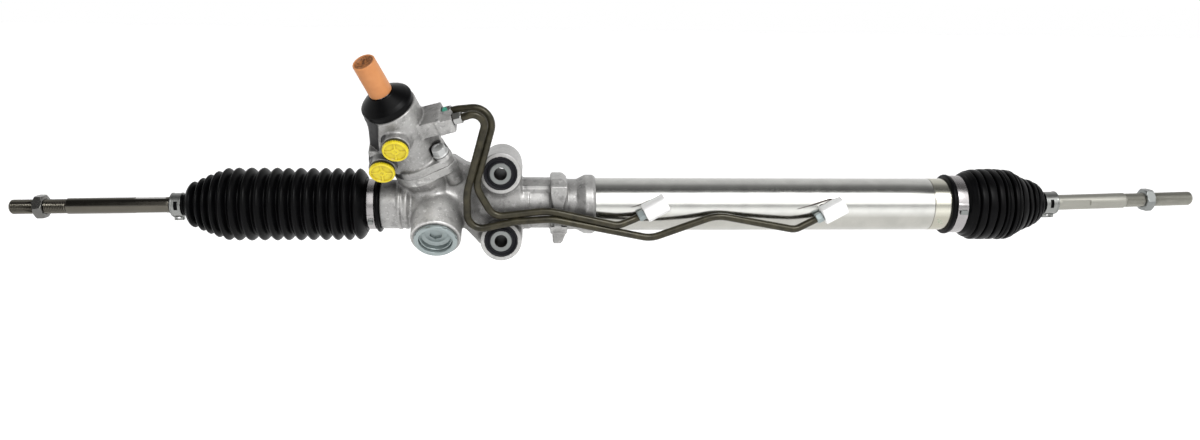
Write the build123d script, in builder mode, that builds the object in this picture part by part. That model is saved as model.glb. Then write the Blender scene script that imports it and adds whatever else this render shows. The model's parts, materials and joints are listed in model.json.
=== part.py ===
from build123d import *
import math
import os

os.makedirs("parts", exist_ok=True)

# ---------------------------------------------------------------------------
# Steering rack, millimetres.  +X runs along the rack, -Y faces the viewer,
# +Z is up.  The origin is the middle between the two mounting bushes.
# The rack axis is parallel to X and lies rack_z above the origin.
# ---------------------------------------------------------------------------

# --- driving dimensions ----------------------------------------------------
bush_spacing = 66.0          # between the two mounting holes, along Z
rack_z = -3.0                # height of the rack axis
boss_r = 20.0                # mounting boss
boss_half = 30.0             # half depth of the mounting boss
bush_r = 16.0                # rubber bush
sleeve_r = 10.4              # steel sleeve in the bush
sleeve_bore_r = 6.1          # clearance hole for an M12 bolt

barrel_r = 24.0              # left end of the gear housing
body_r = 24.5                # right barrel of the gear housing
rack_r = 13.0                # rack bar
rack_bore_r = 14.2

tube_r = 26.2                # cylinder tube
tube_bore_r = 22.0
tube_x0, tube_x1 = 82.0, 472.0

pinion_x = -62.0             # where pinion and rack axes cross, along X
pinion_offset = 15.0         # distance between pinion axis and rack axis
tilt = 18.5                  # pinion axis against the square position
turn = 34.0                  # yoke axis below the horizontal

pressure_angle = 25.0
teeth = 7
pitch_r = 6.5                # pinion pitch radius
tip_r = 8.3
root_r = 5.1
backlash = 0.12
rack_tip = 1.1               # rack tooth above the pitch plane
rack_root = 2.1              # rack tooth below the pitch plane

yoke_h = 46.5                # face of the yoke tower
yoke_r = 24.5

ball_left, ball_right = -267.5, 517.5   # ball centres along X
droop_left, rise_right = 0.8, 1.8       # rod angles at rest, degrees
ball_r = 12.0
rod_r = 7.75
thread_r = 7.0               # M14
shank_r = 6.7                # rod under and before the lock nut
tip_left, tip_right = 201.4, 195.4      # rod ends, from the ball centre
start_left, start_right = 149.0, 124.0  # where the thin part of the rod starts
nut_left, nut_right = 173.3, 148.4      # lock nut middle, from the ball centre
nut_af, nut_h = 21.0, 9.0

pipe_r = 3.25


def at(x, y, z):
    """Point measured from the rack axis."""
    return (x, y, z + rack_z)


def unit(v):
    k = math.sqrt(sum(c * c for c in v))
    return tuple(c / k for c in v)


def along(p, *steps):
    """p moved by each (distance, direction)."""
    q = list(p)
    for k, v in steps:
        q = [a + k * b for a, b in zip(q, v)]
    return tuple(q)


st, ct = math.sin(math.radians(turn)), math.cos(math.radians(turn))
si, co = math.sin(math.radians(tilt)), math.cos(math.radians(tilt))
yoke_dir = (0.0, -ct, -st)                       # yoke axis, outward
pin_dir = (-si, -co * st, co * ct)               # pinion axis, towards the input
side_dir = (pin_dir[1] * yoke_dir[2] - pin_dir[2] * yoke_dir[1],
            pin_dir[2] * yoke_dir[0] - pin_dir[0] * yoke_dir[2],
            pin_dir[0] * yoke_dir[1] - pin_dir[1] * yoke_dir[0])
up_dir = tuple(-c for c in yoke_dir)

rack_point = at(pinion_x, 0, 0)
pin_point = along(rack_point, (pinion_offset, up_dir))

rack_plane = Plane(origin=at(0, 0, 0), x_dir=(1, 0, 0), z_dir=(0, -1, 0))
rack_axis = Axis(at(0, 0, 0), (1, 0, 0))
pin_axis = Axis(pin_point, pin_dir)
pin_profile = Plane(origin=pin_point, x_dir=side_dir, z_dir=yoke_dir)      # x radial, y along the axis
yoke_axis = Axis(rack_point, yoke_dir)
yoke_profile = Plane(origin=rack_point, x_dir=(1, 0, 0), z_dir=(0, st, -ct))  # x radial, y outward


def pin_plane(h):
    """Square to the pinion axis; x to the side, y away from the yoke."""
    return Plane(origin=along(pin_point, (h, pin_dir)), x_dir=side_dir, z_dir=pin_dir)


def tooth_plane(h):
    """Square to the pinion axis, centred on the rack axis."""
    return Plane(origin=along(rack_point, (h, pin_dir)), x_dir=side_dir, z_dir=pin_dir)


def yoke_plane(h):
    return Plane(origin=along(rack_point, (h, yoke_dir)), x_dir=(1, 0, 0), z_dir=yoke_dir)


def yz_plane(x):
    """Square to the rack at x; local x is +Y, local y is +Z."""
    return Plane(origin=at(x, 0, 0), x_dir=(0, 1, 0), z_dir=(1, 0, 0))


def tower(h, side, front):
    """Point by height on the pinion axis, to the side, and towards the yoke side."""
    return along(pin_point, (h, pin_dir), (side, side_dir), (front, yoke_dir))


def save(block, name):
    block.part.label = name
    export_step(block.part, "parts/" + name + ".step")


# ---------------------------------------------------------------------------
# Gear housing
# ---------------------------------------------------------------------------
flange_lo, flange_hi = 40.0, 50.0      # flange of the pinion tower
bolt_side, bolt_front = 27.0, 12.0

with BuildPart() as gear_housing:
    with BuildSketch(rack_plane):
        with BuildLine():
            Polyline(
                (-128, 0), (-128, 20.7), (-127.2, 21.5), (-117, 21.5), (-117, 23.2), (-116.2, 24),
                (-100.5, 24), (-100, 24.7), (-97.5, 24.7), (-96.5, 23.8), (-94, 23.8), (-93.5, 24.5),
                (-91, 24.5), (-87, 21.0), (-78, 20.5), (-40, 20.5), (-28, 22.5), (-20, 24.5),
                (27.5, 24.5), (28.0, 23.9), (47.0, 23.9), (48.0, 25.2), (73.6, 25.2), (74.8, 25.6), (82.0, 29.4), (89.4, 29.4),
                (92.2, 27.5), (92.2, 0), close=True)
        make_face()
    revolve(axis=rack_axis)
    # flat ledge on top of the right barrel
    with BuildSketch(yz_plane(-20)):
        with BuildLine():
            Polyline((-19, 8), (-19, 18.8), (-16.5, 22.2), (-6, 26.3), (6, 26.3),
                     (16.5, 22.2), (19, 18.8), (19, 8), close=True)
        make_face()
    extrude(amount=70)
    # yoke tower
    with BuildSketch(yoke_plane(0)):
        Circle(yoke_r)
    extrude(amount=yoke_h)
    # pinion tower, widening to its flange
    with BuildSketch(pin_profile):
        with BuildLine():
            Polyline((0, -43), (14.5, -43), (16, -41.5), (16, -14), (22, -4), (23.5, 14), (25.5, 30),
                     (28.5, flange_lo), (28.5, flange_hi), (0, flange_hi), close=True)
        make_face()
    revolve(axis=pin_axis)
    with BuildSketch(pin_plane(flange_lo)):
        with Locations((bolt_side, -bolt_front), (-bolt_side, bolt_front)):
            Circle(9.5)
        Circle(28.5)
        make_hull()
    extrude(amount=flange_hi - flange_lo)
    # bolt bosses under the flange
    with BuildSketch(pin_plane(24)):
        with Locations((bolt_side, -bolt_front), (-bolt_side, bolt_front)):
            Circle(7.5)
    extrude(amount=flange_lo - 24)
    # mounting bosses
    with BuildSketch(Plane(origin=(0, boss_half, 0), x_dir=(1, 0, 0), z_dir=(0, -1, 0))):
        with Locations((0, bush_spacing / 2), (0, -bush_spacing / 2)):
            Circle(boss_r)
    extrude(amount=2 * boss_half)
    # webs that tie the bosses to the barrel and to the pinion tower
    with BuildSketch(Plane(origin=(0, 18, 0), x_dir=(1, 0, 0), z_dir=(0, -1, 0))):
        with BuildLine():
            Polyline((-20, -33), (-20, 33), (20, 33), (20, -33), close=True)
        make_face()
    extrude(amount=40)
    with BuildSketch(Plane(origin=(0, 4, 0), x_dir=(1, 0, 0), z_dir=(0, -1, 0))):
        with BuildLine():
            Polyline((-52, 50), (-45, 50), (-34, 42), (-16, 36), (-16, 0), (-52, 0), close=True)
        make_face()
    extrude(amount=22)
    with BuildSketch(Plane(origin=(0, 14, 0), x_dir=(1, 0, 0), z_dir=(0, -1, 0))):
        with BuildLine():
            Polyline((-44, -14), (-22, -40), (-8, -40), (-8, 0), (-44, 0), close=True)
        make_face()
    extrude(amount=32)
    # lug rib round the right barrel, with the stop lug below
    with BuildSketch(yz_plane(48.0)):
        with BuildLine():
            Polyline((-29, -16), (-29, 22.5), (-22, 29.4), (16, 29.4), (26, 21), (28, 4), (24, -14), (12, -27),
                     (-14, -27), close=True)
        make_face()
    extrude(amount=16.2)
    # sloped shoulders on top of the rib
    with BuildSketch(Plane(origin=at(0, 40, 0), x_dir=(1, 0, 0), z_dir=(0, -1, 0))):
        with BuildLine():
            Polyline((59.4, 29.5), (63.6, 25.3), (70, 25.3), (70, 40), (59.4, 40), close=True)
        make_face()
        with BuildLine():
            Polyline((49.4, 29.5), (47.9, 26.4), (44, 26.4), (44, 40), (49.4, 40), close=True)
        make_face()
    extrude(amount=80, mode=Mode.SUBTRACT)
    with BuildSketch(Plane(origin=at(0, 13, 0), x_dir=(1, 0, 0), z_dir=(0, -1, 0))):
        with BuildLine():
            Polyline((50, -20), (64, -20), (64, -25), (60, -35), (58, -37), (52, -37), (50.5, -35.5),
                     close=True)
        make_face()
    extrude(amount=28)
    # rack bore and tube socket
    with BuildSketch(rack_plane):
        with BuildLine():
            Polyline((-135, 0), (-135, rack_bore_r), (tube_x0 - 0.1, rack_bore_r), (tube_x0 - 0.1, tube_r + 0.02), (95, tube_r + 0.02),
                     (95, 0), close=True)
        make_face()
    revolve(axis=rack_axis, mode=Mode.SUBTRACT)
    # yoke bore with the thread for the plug
    with BuildSketch(yoke_profile):
        with BuildLine():
            Polyline((0, 0), (15.05, 0), (15.05, 29), (16.03, 29), (16.03, 45.7), (16.9, 47), (0, 47), close=True)
        make_face()
    revolve(axis=yoke_axis, mode=Mode.SUBTRACT)
    # pinion bore: cap thread, lower bearing, tooth room, upper bearing, valve spigot
    with BuildSketch(pin_profile):
        with BuildLine():
            Polyline((0, -44), (12.02, -44), (12.02, -35), (11.02, -35), (11.02, -17), (9.3, -16), (9.3, 16.4),
                     (13, 18.8), (13, 20.9), (16.02, 20.9), (16.02, 34), (18.02, 34.5), (18.02, 51), (0, 51), close=True)
        make_face()
    revolve(axis=pin_axis, mode=Mode.SUBTRACT)
    # bush bores
    with BuildSketch(Plane(origin=(0, boss_half + 1, 0), x_dir=(1, 0, 0), z_dir=(0, -1, 0))):
        with Locations((0, bush_spacing / 2), (0, -bush_spacing / 2)):
            Circle(bush_r)
    extrude(amount=2 * boss_half + 2, mode=Mode.SUBTRACT)
    # threaded holes for the valve housing bolts
    with BuildSketch(pin_plane(28)):
        with Locations((bolt_side, -bolt_front), (-bolt_side, bolt_front)):
            Circle(4.02)
    extrude(amount=30, mode=Mode.SUBTRACT)
save(gear_housing, "gear_housing")

# ---------------------------------------------------------------------------
# Cylinder tube, its bosses and what is pressed into it
# ---------------------------------------------------------------------------
port_dir = unit((-0.875, 0.0, -0.484))           # port axis, towards the pipe
port_left = along(at(149.6, -31.0, 2.7), (11.5, port_dir))    # face of the first boss
port_right = along(at(325.5, -31.0, 0.4), (11.5, port_dir))   # face of the second boss
port_up = (port_dir[2], 0.0, -port_dir[0])

with BuildPart() as cylinder_tube:
    with BuildSketch(rack_plane):
        with BuildLine():
            Polyline((tube_x0, tube_bore_r), (tube_x0, tube_r - 0.6), (tube_x0 + 0.6, tube_r), (431.0, tube_r),
                     (431.3, tube_r - 0.35), (431.9, tube_r - 0.35), (432.2, tube_r), (tube_x1 - 6, tube_r),
                     (tube_x1 - 6, tube_r - 1.2), (tube_x1 - 0.5, tube_r - 1.2), (tube_x1, tube_r - 1.8), (tube_x1, tube_bore_r),
                     close=True)
        make_face()
    revolve(axis=rack_axis)
    # oil passages behind the two bosses
    with BuildSketch(Plane(origin=at(0, -10, 0), x_dir=(1, 0, 0), z_dir=(0, -1, 0))):
        with Locations((148.5, 2.0), (324.4, -0.2)):
            Circle(2.0)
    extrude(amount=20, mode=Mode.SUBTRACT)
save(cylinder_tube, "cylinder_tube")

with BuildPart() as port_boss_left:
    with BuildSketch(Plane(origin=port_left, x_dir=port_up, z_dir=tuple(-c for c in port_dir))):
        Circle(9.6)
    extrude(amount=24)
    fillet(port_boss_left.edges().sort_by(Axis.X)[-1:], radius=4.0)
    with BuildSketch(rack_plane):
        with BuildLine():
            Polyline((100, 0), (100, tube_r + 0.01), (200, tube_r + 0.01), (200, 0), close=True)
        make_face()
    revolve(axis=rack_axis, mode=Mode.SUBTRACT)
    with BuildSketch(Plane(origin=port_left, x_dir=port_up, z_dir=tuple(-c for c in port_dir))):
        Circle(4.72)
    extrude(amount=9, mode=Mode.SUBTRACT)
    with BuildSketch(Plane(origin=at(148.5, -20, 2.0), x_dir=(1, 0, 0), z_dir=(0, -1, 0))):
        Circle(2.0)
    extrude(amount=11, mode=Mode.SUBTRACT)
save(port_boss_left, "port_boss_left")

with BuildPart() as port_boss_right:
    with BuildSketch(Plane(origin=port_right, x_dir=port_up, z_dir=tuple(-c for c in port_dir))):
        Circle(9.6)
    extrude(amount=24)
    fillet(port_boss_right.edges().sort_by(Axis.X)[-1:], radius=4.0)
    with BuildSketch(rack_plane):
        with BuildLine():
            Polyline((280, 0), (280, tube_r + 0.01), (380, tube_r + 0.01), (380, 0), close=True)
        make_face()
    revolve(axis=rack_axis, mode=Mode.SUBTRACT)
    with BuildSketch(Plane(origin=port_right, x_dir=port_up, z_dir=tuple(-c for c in port_dir))):
        Circle(4.72)
    extrude(amount=9, mode=Mode.SUBTRACT)
    with BuildSketch(Plane(origin=at(324.4, -20, -0.2), x_dir=(1, 0, 0), z_dir=(0, -1, 0))):
        Circle(2.0)
    extrude(amount=11, mode=Mode.SUBTRACT)
save(port_boss_right, "port_boss_right")

with BuildPart() as inner_rack_seal:
    with BuildSketch(rack_plane):
        with BuildLine():
            Polyline((96, rack_r + 0.05), (96, 21.0), (97, 21.95), (132, 21.95), (134, 19.0), (134, 17.0),
                     (128, 15.5), (128, rack_r + 0.05), close=True)
        make_face()
    revolve(axis=rack_axis)
save(inner_rack_seal, "inner_rack_seal")

with BuildPart() as outer_rack_bush:
    with BuildSketch(rack_plane):
        with BuildLine():
            Polyline((346, rack_r + 0.05), (346, 15.5), (340, 17.0), (340, 19.0), (342, 21.95), (376, 21.95),
                     (377, 21.0), (377, rack_r + 0.05), close=True)
        make_face()
    revolve(axis=rack_axis)
save(outer_rack_bush, "outer_rack_bush")

with BuildPart() as bush_retaining_ring:
    with BuildSketch(rack_plane):
        with BuildLine():
            Polyline((377.1, 17.0), (377.1, 21.95), (379.1, 21.95), (379.1, 17.0), close=True)
        make_face()
    revolve(axis=rack_axis)
save(bush_retaining_ring, "bush_retaining_ring")

# ---------------------------------------------------------------------------
# Rack bar and piston
# ---------------------------------------------------------------------------
pitch = 2 * math.pi * pitch_r / teeth
ta = math.tan(math.radians(pressure_angle))
pitch_plane_y = pinion_offset - pitch_r
rack_x0, rack_x1 = ball_left + 31.5, ball_right - 31.5
teeth_x0, teeth_x1 = -189.0, -9.0

with BuildPart() as rack_bar:
    with BuildSketch(rack_plane):
        with BuildLine():
            Polyline((rack_x0, 0), (rack_x0, rack_r - 1), (rack_x0 + 1, rack_r), (rack_x1 - 1, rack_r),
                     (rack_x1, rack_r - 1), (rack_x1, 0), close=True)
        make_face()
    revolve(axis=rack_axis)
    # flat along the tooth tips
    with BuildSketch(Plane(origin=rack_point, x_dir=(1, 0, 0), z_dir=yoke_dir).offset(-(pitch_plane_y + rack_tip))):
        with Locations(((teeth_x0 + teeth_x1) / 2 - pinion_x, 0)):
            Rectangle(teeth_x1 - teeth_x0, 40)
    extrude(amount=-8, mode=Mode.SUBTRACT)
    # tooth gaps, parallel to the pinion axis
    half = pitch / 4
    y0, y1, yp = pitch_plane_y - rack_root, pitch_plane_y + rack_tip + 0.6, pitch_plane_y
    with BuildSketch(tooth_plane(-60)):
        for k in range(-20, 9):
            c = k * pitch
            with BuildLine():
                Polyline((c - half - (y1 - yp) * ta, y1), (c + half + (y1 - yp) * ta, y1),
                         (c + half + (y0 - yp) * ta, y0), (c - half - (y0 - yp) * ta, y0), close=True)
            make_face()
    extrude(amount=120, mode=Mode.SUBTRACT)
    # piston groove and the tapped ends
    with BuildSketch(rack_plane):
        with BuildLine():
            Polyline((185.5, 12.4), (185.5, 14), (205.5, 14), (205.5, 12.4), close=True)
        make_face()
    revolve(axis=rack_axis, mode=Mode.SUBTRACT)
    with BuildSketch(rack_plane):
        with BuildLine():
            Polyline((rack_x0 - 1, 0), (rack_x0 - 1, 8.03), (rack_x0 + 26, 8.03), (rack_x0 + 30, 0), close=True)
        make_face()
    revolve(axis=rack_axis, mode=Mode.SUBTRACT)
    with BuildSketch(rack_plane):
        with BuildLine():
            Polyline((rack_x1 + 1, 0), (rack_x1 + 1, 8.03), (rack_x1 - 26, 8.03), (rack_x1 - 30, 0), close=True)
        make_face()
    revolve(axis=rack_axis, mode=Mode.SUBTRACT)
save(rack_bar, "rack_bar")

with BuildPart() as rack_piston:
    with BuildSketch(rack_plane):
        with BuildLine():
            Polyline((185.6, 12.45), (185.6, 21.2), (186.3, 21.9), (192.4, 21.9), (192.4, 18.5), (198.6, 18.5),
                     (198.6, 21.9), (204.7, 21.9), (205.4, 21.2), (205.4, 12.45), close=True)
        make_face()
    revolve(axis=rack_axis)
save(rack_piston, "rack_piston")

with BuildPart() as piston_ring:
    with BuildSketch(rack_plane):
        with BuildLine():
            Polyline((192.5, 18.6), (192.5, 21.95), (198.5, 21.95), (198.5, 18.6), close=True)
        make_face()
    revolve(axis=rack_axis)
save(piston_ring, "piston_ring")

# ---------------------------------------------------------------------------
# Pinion, rotary valve and input shaft
# ---------------------------------------------------------------------------
base_r = pitch_r * math.cos(math.radians(pressure_angle))
inv_p = ta - math.radians(pressure_angle)
half_pitch_angle = (pitch / 4 - backlash / 2) / pitch_r


def half_angle(r):
    a = math.acos(min(1.0, base_r / r))
    return half_pitch_angle + inv_p - (math.tan(a) - a)


flank = [base_r + (tip_r - base_r) * i / 6 for i in range(7)]
outline = []
for t in range(teeth):
    mid = -math.pi / 2 + 2 * math.pi * t / teeth
    side = [(root_r, half_angle(base_r))] + [(r, half_angle(r)) for r in flank]
    for r, a in side:
        outline.append((r * math.cos(mid - a), r * math.sin(mid - a)))
    for r, a in reversed(side):
        outline.append((r * math.cos(mid + a), r * math.sin(mid + a)))

with BuildPart() as pinion:
    with BuildSketch(pin_plane(-15)):
        with BuildLine():
            Polyline(*outline, close=True)
        make_face()
    extrude(amount=30.5)
    with BuildSketch(pin_profile):
        with BuildLine():
            Polyline((0, -31.5), (5.2, -31.5), (5.95, -30.7), (5.95, -18.5), (7.4, -18.5), (7.4, -15), (0, -15),
                     close=True)
        make_face()
    revolve(axis=pin_axis)
    with BuildSketch(pin_profile):
        with BuildLine():
            Polyline((0, 15.4), (8.3, 15.4), (8.3, 19), (12.5, 19), (12.5, 20.9), (10.0, 20.9), (10.0, 34.4), (10.9, 34.4),
                     (10.9, 43.5), (13.5, 43.5), (13.5, 52.5), (12.5, 52.5), (12.5, 60), (0, 60), close=True)
        make_face()
    revolve(axis=pin_axis)
    # seat of the torsion bar and of the input shaft's spigot
    with BuildSketch(pin_profile):
        with BuildLine():
            Polyline((0, 18), (2.6, 18), (2.6, 30), (4.2, 32), (4.2, 46), (7.1, 46), (7.1, 61), (0, 61), close=True)
        make_face()
    revolve(axis=pin_axis, mode=Mode.SUBTRACT)
save(pinion, "pinion")

with BuildPart() as torsion_bar:
    with BuildSketch(pin_profile):
        with BuildLine():
            Polyline((0, 18.1), (2.55, 18.1), (2.55, 29), (2.2, 31), (2.2, 118), (0, 118), close=True)
        make_face()
    revolve(axis=pin_axis)
save(torsion_bar, "torsion_bar")

with BuildPart() as valve_sleeve:
    with BuildSketch(pin_profile):
        with BuildLine():
            Polyline((12.55, 53), (17.4, 53), (17.9, 53.5), (17.9, 57), (16.6, 57), (16.6, 60), (17.9, 60), (17.9, 68),
                     (16.6, 68), (16.6, 71), (17.9, 71), (17.9, 79), (16.6, 79), (16.6, 82), (17.9, 82), (17.9, 90),
                     (16.6, 90), (16.6, 93), (17.9, 93), (17.9, 97.5), (17.4, 98), (12.55, 98), close=True)
        make_face()
    revolve(axis=pin_axis)
    with BuildSketch(pin_profile):
        with Locations((0, 64), (0, 75), (0, 86)):
            Circle(2.0)
    extrude(amount=30, both=True, mode=Mode.SUBTRACT)
save(valve_sleeve, "valve_sleeve")

with BuildPart() as valve_seal_rings:
    with BuildSketch(pin_profile):
        for h in (57, 68, 79, 90):
            with BuildLine():
                Polyline((16.65, h + 0.1), (17.96, h + 0.1), (17.96, h + 2.9), (16.65, h + 2.9), close=True)
            make_face()
    revolve(axis=pin_axis)
save(valve_seal_rings, "valve_seal_rings")

with BuildPart() as input_shaft:
    with BuildSketch(pin_profile):
        with BuildLine():
            Polyline((2.9, 48), (7.0, 48), (7.0, 60.3), (12.5, 60.3), (12.5, 98.5), (9.5, 102), (9.5, 136), (8.0, 138.5),
                     (8.0, 164), (7.0, 165), (4.5, 165), (2.9, 163), close=True)
        make_face()
    revolve(axis=pin_axis)
    # control slots of the rotor
    with BuildSketch(pin_plane(63)):
        with PolarLocations(12.5, 8):
            Rectangle(1.6, 3.0)
    extrude(amount=32, mode=Mode.SUBTRACT)
    # spline
    with BuildSketch(pin_plane(139)):
        with PolarLocations(8.0, 24):
            Rectangle(1.4, 1.05)
    extrude(amount=24)
save(input_shaft, "input_shaft")

with BuildPart() as lower_bearing:
    with BuildSketch(pin_profile):
        with BuildLine():
            Polyline((6.0, -30), (11.0, -30), (11.0, -19.5), (6.0, -19.5), close=True)
        make_face()
    revolve(axis=pin_axis)
save(lower_bearing, "lower_bearing")

with BuildPart() as pinion_end_cap:
    with BuildSketch(pin_profile):
        with BuildLine():
            Polyline((0, -46.5), (8, -46.5), (8, -43.4), (12.0, -43.4), (12.0, -35.3), (0, -35.3), close=True)
        make_face()
    revolve(axis=pin_axis)
save(pinion_end_cap, "pinion_end_cap")

with BuildPart() as upper_bearing:
    with BuildSketch(pin_profile):
        with BuildLine():
            Polyline((10.05, 21.2), (12.4, 21.2), (12.4, 23.2), (13.6, 23.2), (13.6, 21.2), (16.0, 21.2), (16.0, 33.4),
                     (13.6, 33.4), (13.6, 31.4), (12.4, 31.4), (12.4, 33.4), (10.05, 33.4), close=True)
        make_face()
    revolve(axis=pin_axis)
save(upper_bearing, "upper_bearing")

with BuildPart() as pinion_seal:
    with BuildSketch(pin_profile):
        with BuildLine():
            Polyline((10.98, 35.2), (18.0, 35.2), (18.0, 41.5), (16.0, 41.5), (16.0, 37.2), (12.4, 37.2), (12.4, 40.6),
                     (10.98, 40.6), close=True)
        make_face()
    revolve(axis=pin_axis)
save(pinion_seal, "pinion_seal")

with BuildPart() as input_bearing:
    with BuildSketch(pin_profile):
        with BuildLine():
            Polyline((9.55, 103.6), (12.6, 103.6), (12.6, 105), (14.6, 105), (14.6, 103.6), (18.0, 103.6), (18.0, 113.4),
                     (14.6, 113.4), (14.6, 112), (12.6, 112), (12.6, 113.4), (9.55, 113.4), close=True)
        make_face()
    revolve(axis=pin_axis)
save(input_bearing, "input_bearing")

with BuildPart() as input_seal:
    with BuildSketch(pin_profile):
        with BuildLine():
            Polyline((9.56, 114.4), (18.0, 114.4), (18.0, 120.2), (16.2, 120.2), (16.2, 116.2), (11.2, 116.2),
                     (11.2, 119.6), (9.56, 119.6), close=True)
        make_face()
    revolve(axis=pin_axis)
save(input_seal, "input_seal")

with BuildPart() as seal_retaining_ring:
    with BuildSketch(pin_profile):
        with BuildLine():
            Polyline((15.2, 120.4), (19.0, 120.4), (19.0, 121.8), (15.2, 121.8), close=True)
        make_face()
    revolve(axis=pin_axis)
save(seal_retaining_ring, "seal_retaining_ring")

# ---------------------------------------------------------------------------
# Valve housing
# ---------------------------------------------------------------------------
port1_side, port1_h = -0.6, 96.0      # upper hydraulic port
port2_side, port2_h = -23.3, 75.0     # lower hydraulic port
port_face = 32.0

with BuildPart() as valve_housing:
    with BuildSketch(pin_profile):
        with BuildLine():
            Polyline((0, flange_hi + 0.05), (28.5, flange_hi + 0.05), (28.5, 57), (27.3, 58.2), (25.2, 60), (24.6, 64), (24.6, 88),
                     (25.2, 92), (25.2, 118.5), (23.8, 119.6), (21.4, 119.6), (21.4, 123.4), (0, 123.4), close=True)
        make_face()
    revolve(axis=pin_axis)
    with BuildSketch(pin_plane(flange_hi + 0.05)):
        with Locations((bolt_side, -bolt_front), (-bolt_side, bolt_front)):
            Circle(9.5)
        Circle(28.5)
        make_hull()
    extrude(amount=8)
    # bolt pads
    with BuildSketch(pin_plane(57)):
        with Locations((bolt_side, -bolt_front), (-bolt_side, bolt_front)):
            Circle(8.5)
    extrude(amount=3.5)
    # web behind the two hydraulic ports
    with BuildSketch(Plane(origin=pin_point, x_dir=side_dir, z_dir=yoke_dir).offset(-8)):
        with Locations((port1_side, port1_h), (port2_side, port2_h)):
            Circle(13.4)
        with Locations((-14, 108)):
            Circle(10)
        with Locations((-18, 66)):
            Circle(8)
        make_hull()
    extrude(amount=31)
    with BuildSketch(Plane(origin=pin_point, x_dir=side_dir, z_dir=yoke_dir).offset(10)):
        with Locations((port1_side, port1_h), (port2_side, port2_h)):
            Circle(12.6)
    extrude(amount=port_face - 10)
    # pipe block on the other side, and the two pipe seats
    with BuildSketch(Plane(origin=tower(92, 14, 0), x_dir=pin_dir, z_dir=side_dir)):
        with Locations((0, 1)):
            RectangleRounded(16.4, 27, 2.5)
    extrude(amount=28)
    with BuildSketch(Plane(origin=tower(92.6, 38, 8), x_dir=pin_dir, z_dir=side_dir)):
        with Locations((-1.5, 0)):
            RectangleRounded(16, 15, 3)
    extrude(amount=15)
    # ribs
    with BuildSketch(Plane(origin=tower(60, 0, -4), x_dir=side_dir, z_dir=yoke_dir)):
        with BuildLine():
            Polyline((18, 0), (29, 0), (29, 6), (33, 27), (18, 27), close=True)
        make_face()
    extrude(amount=10)
    # bore
    with BuildSketch(pin_profile):
        with BuildLine():
            Polyline((0, 49), (18.02, 49), (18.02, 120.4), (19.05, 120.4), (19.05, 121.9), (18.3, 121.9), (18.3, 124), (0, 124),
                     close=True)
        make_face()
    revolve(axis=pin_axis, mode=Mode.SUBTRACT)
    # hydraulic ports
    with BuildSketch(Plane(origin=pin_point, x_dir=side_dir, z_dir=yoke_dir).offset(20)):
        with Locations((port1_side, port1_h), (port2_side, port2_h)):
            Circle(8.1)
    extrude(amount=20, mode=Mode.SUBTRACT)
    with BuildSketch(Plane(origin=pin_point, x_dir=side_dir, z_dir=yoke_dir).offset(4)):
        with Locations((port1_side, port1_h), (port2_side + 8, port2_h)):
            Circle(2.5)
    extrude(amount=20, mode=Mode.SUBTRACT)
    # pipe seats
    with BuildSketch(Plane(origin=tower(92, 34, -6), x_dir=pin_dir, z_dir=side_dir)):
        Circle(5.02)
    extrude(amount=12, mode=Mode.SUBTRACT)
    with BuildSketch(Plane(origin=tower(92.6, 45, 8), x_dir=pin_dir, z_dir=side_dir)):
        Circle(5.02)
    extrude(amount=12, mode=Mode.SUBTRACT)
    with BuildSketch(Plane(origin=tower(92, 14, -6), x_dir=pin_dir, z_dir=side_dir)):
        Circle(1.8)
    extrude(amount=24, mode=Mode.SUBTRACT)
    with BuildSketch(Plane(origin=tower(92.6, 14, 8), x_dir=pin_dir, z_dir=side_dir)):
        Circle(1.8)
    extrude(amount=34, mode=Mode.SUBTRACT)
    # bolt holes
    with BuildSketch(pin_plane(48)):
        with Locations((bolt_side, -bolt_front), (-bolt_side, bolt_front)):
            Circle(4.4)
    extrude(amount=14, mode=Mode.SUBTRACT)
    # room for the bolt heads beside the web and the block
    with BuildSketch(pin_plane(60.5)):
        with Locations((bolt_side, -bolt_front), (-bolt_side, bolt_front)):
            Circle(8.2)
    extrude(amount=10.5, mode=Mode.SUBTRACT)
save(valve_housing, "valve_housing")

with BuildPart() as valve_housing_bolts:
    with BuildSketch(pin_plane(32)):
        with Locations((bolt_side, -bolt_front), (-bolt_side, bolt_front)):
            Circle(4.0)
    extrude(amount=29)
    with BuildSketch(pin_plane(60.55)):
        with Locations((bolt_side, -bolt_front), (-bolt_side, bolt_front)):
            Circle(7.9)
    extrude(amount=1.6)
    with BuildSketch(pin_plane(62)):
        with Locations((bolt_side, -bolt_front), (-bolt_side, bolt_front)):
            RegularPolygon(6.93, 6)
    extrude(amount=6.5)
save(valve_housing_bolts, "valve_housing_bolts")

with BuildPart() as dust_cover:
    with BuildSketch(pin_profile):
        with BuildLine():
            Polyline((21.5, 119.8), (23.6, 119.8), (24.4, 120.8), (24.4, 125.2), (23.6, 127), (21.6, 128.6), (17.5, 131.6),
                     (13.5, 134.6), (11.6, 136.2), (9.8, 136.2), (9.8, 134.2), (12, 132.2), (16, 129.2), (20, 126.3),
                     (21.5, 124.8), close=True)
        make_face()
    revolve(axis=pin_axis)
save(dust_cover, "dust_cover")

with BuildPart() as transit_sleeve:
    with BuildSketch(pin_profile):
        with BuildLine():
            Polyline((8.75, 138.2), (9.6, 136.6), (10.5, 136.6), (10.8, 137.2), (10.5, 171.2), (10.1, 172), (9.0, 172),
                     (8.75, 171.4), close=True)
        make_face()
    revolve(axis=pin_axis)
save(transit_sleeve, "transit_sleeve")

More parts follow.
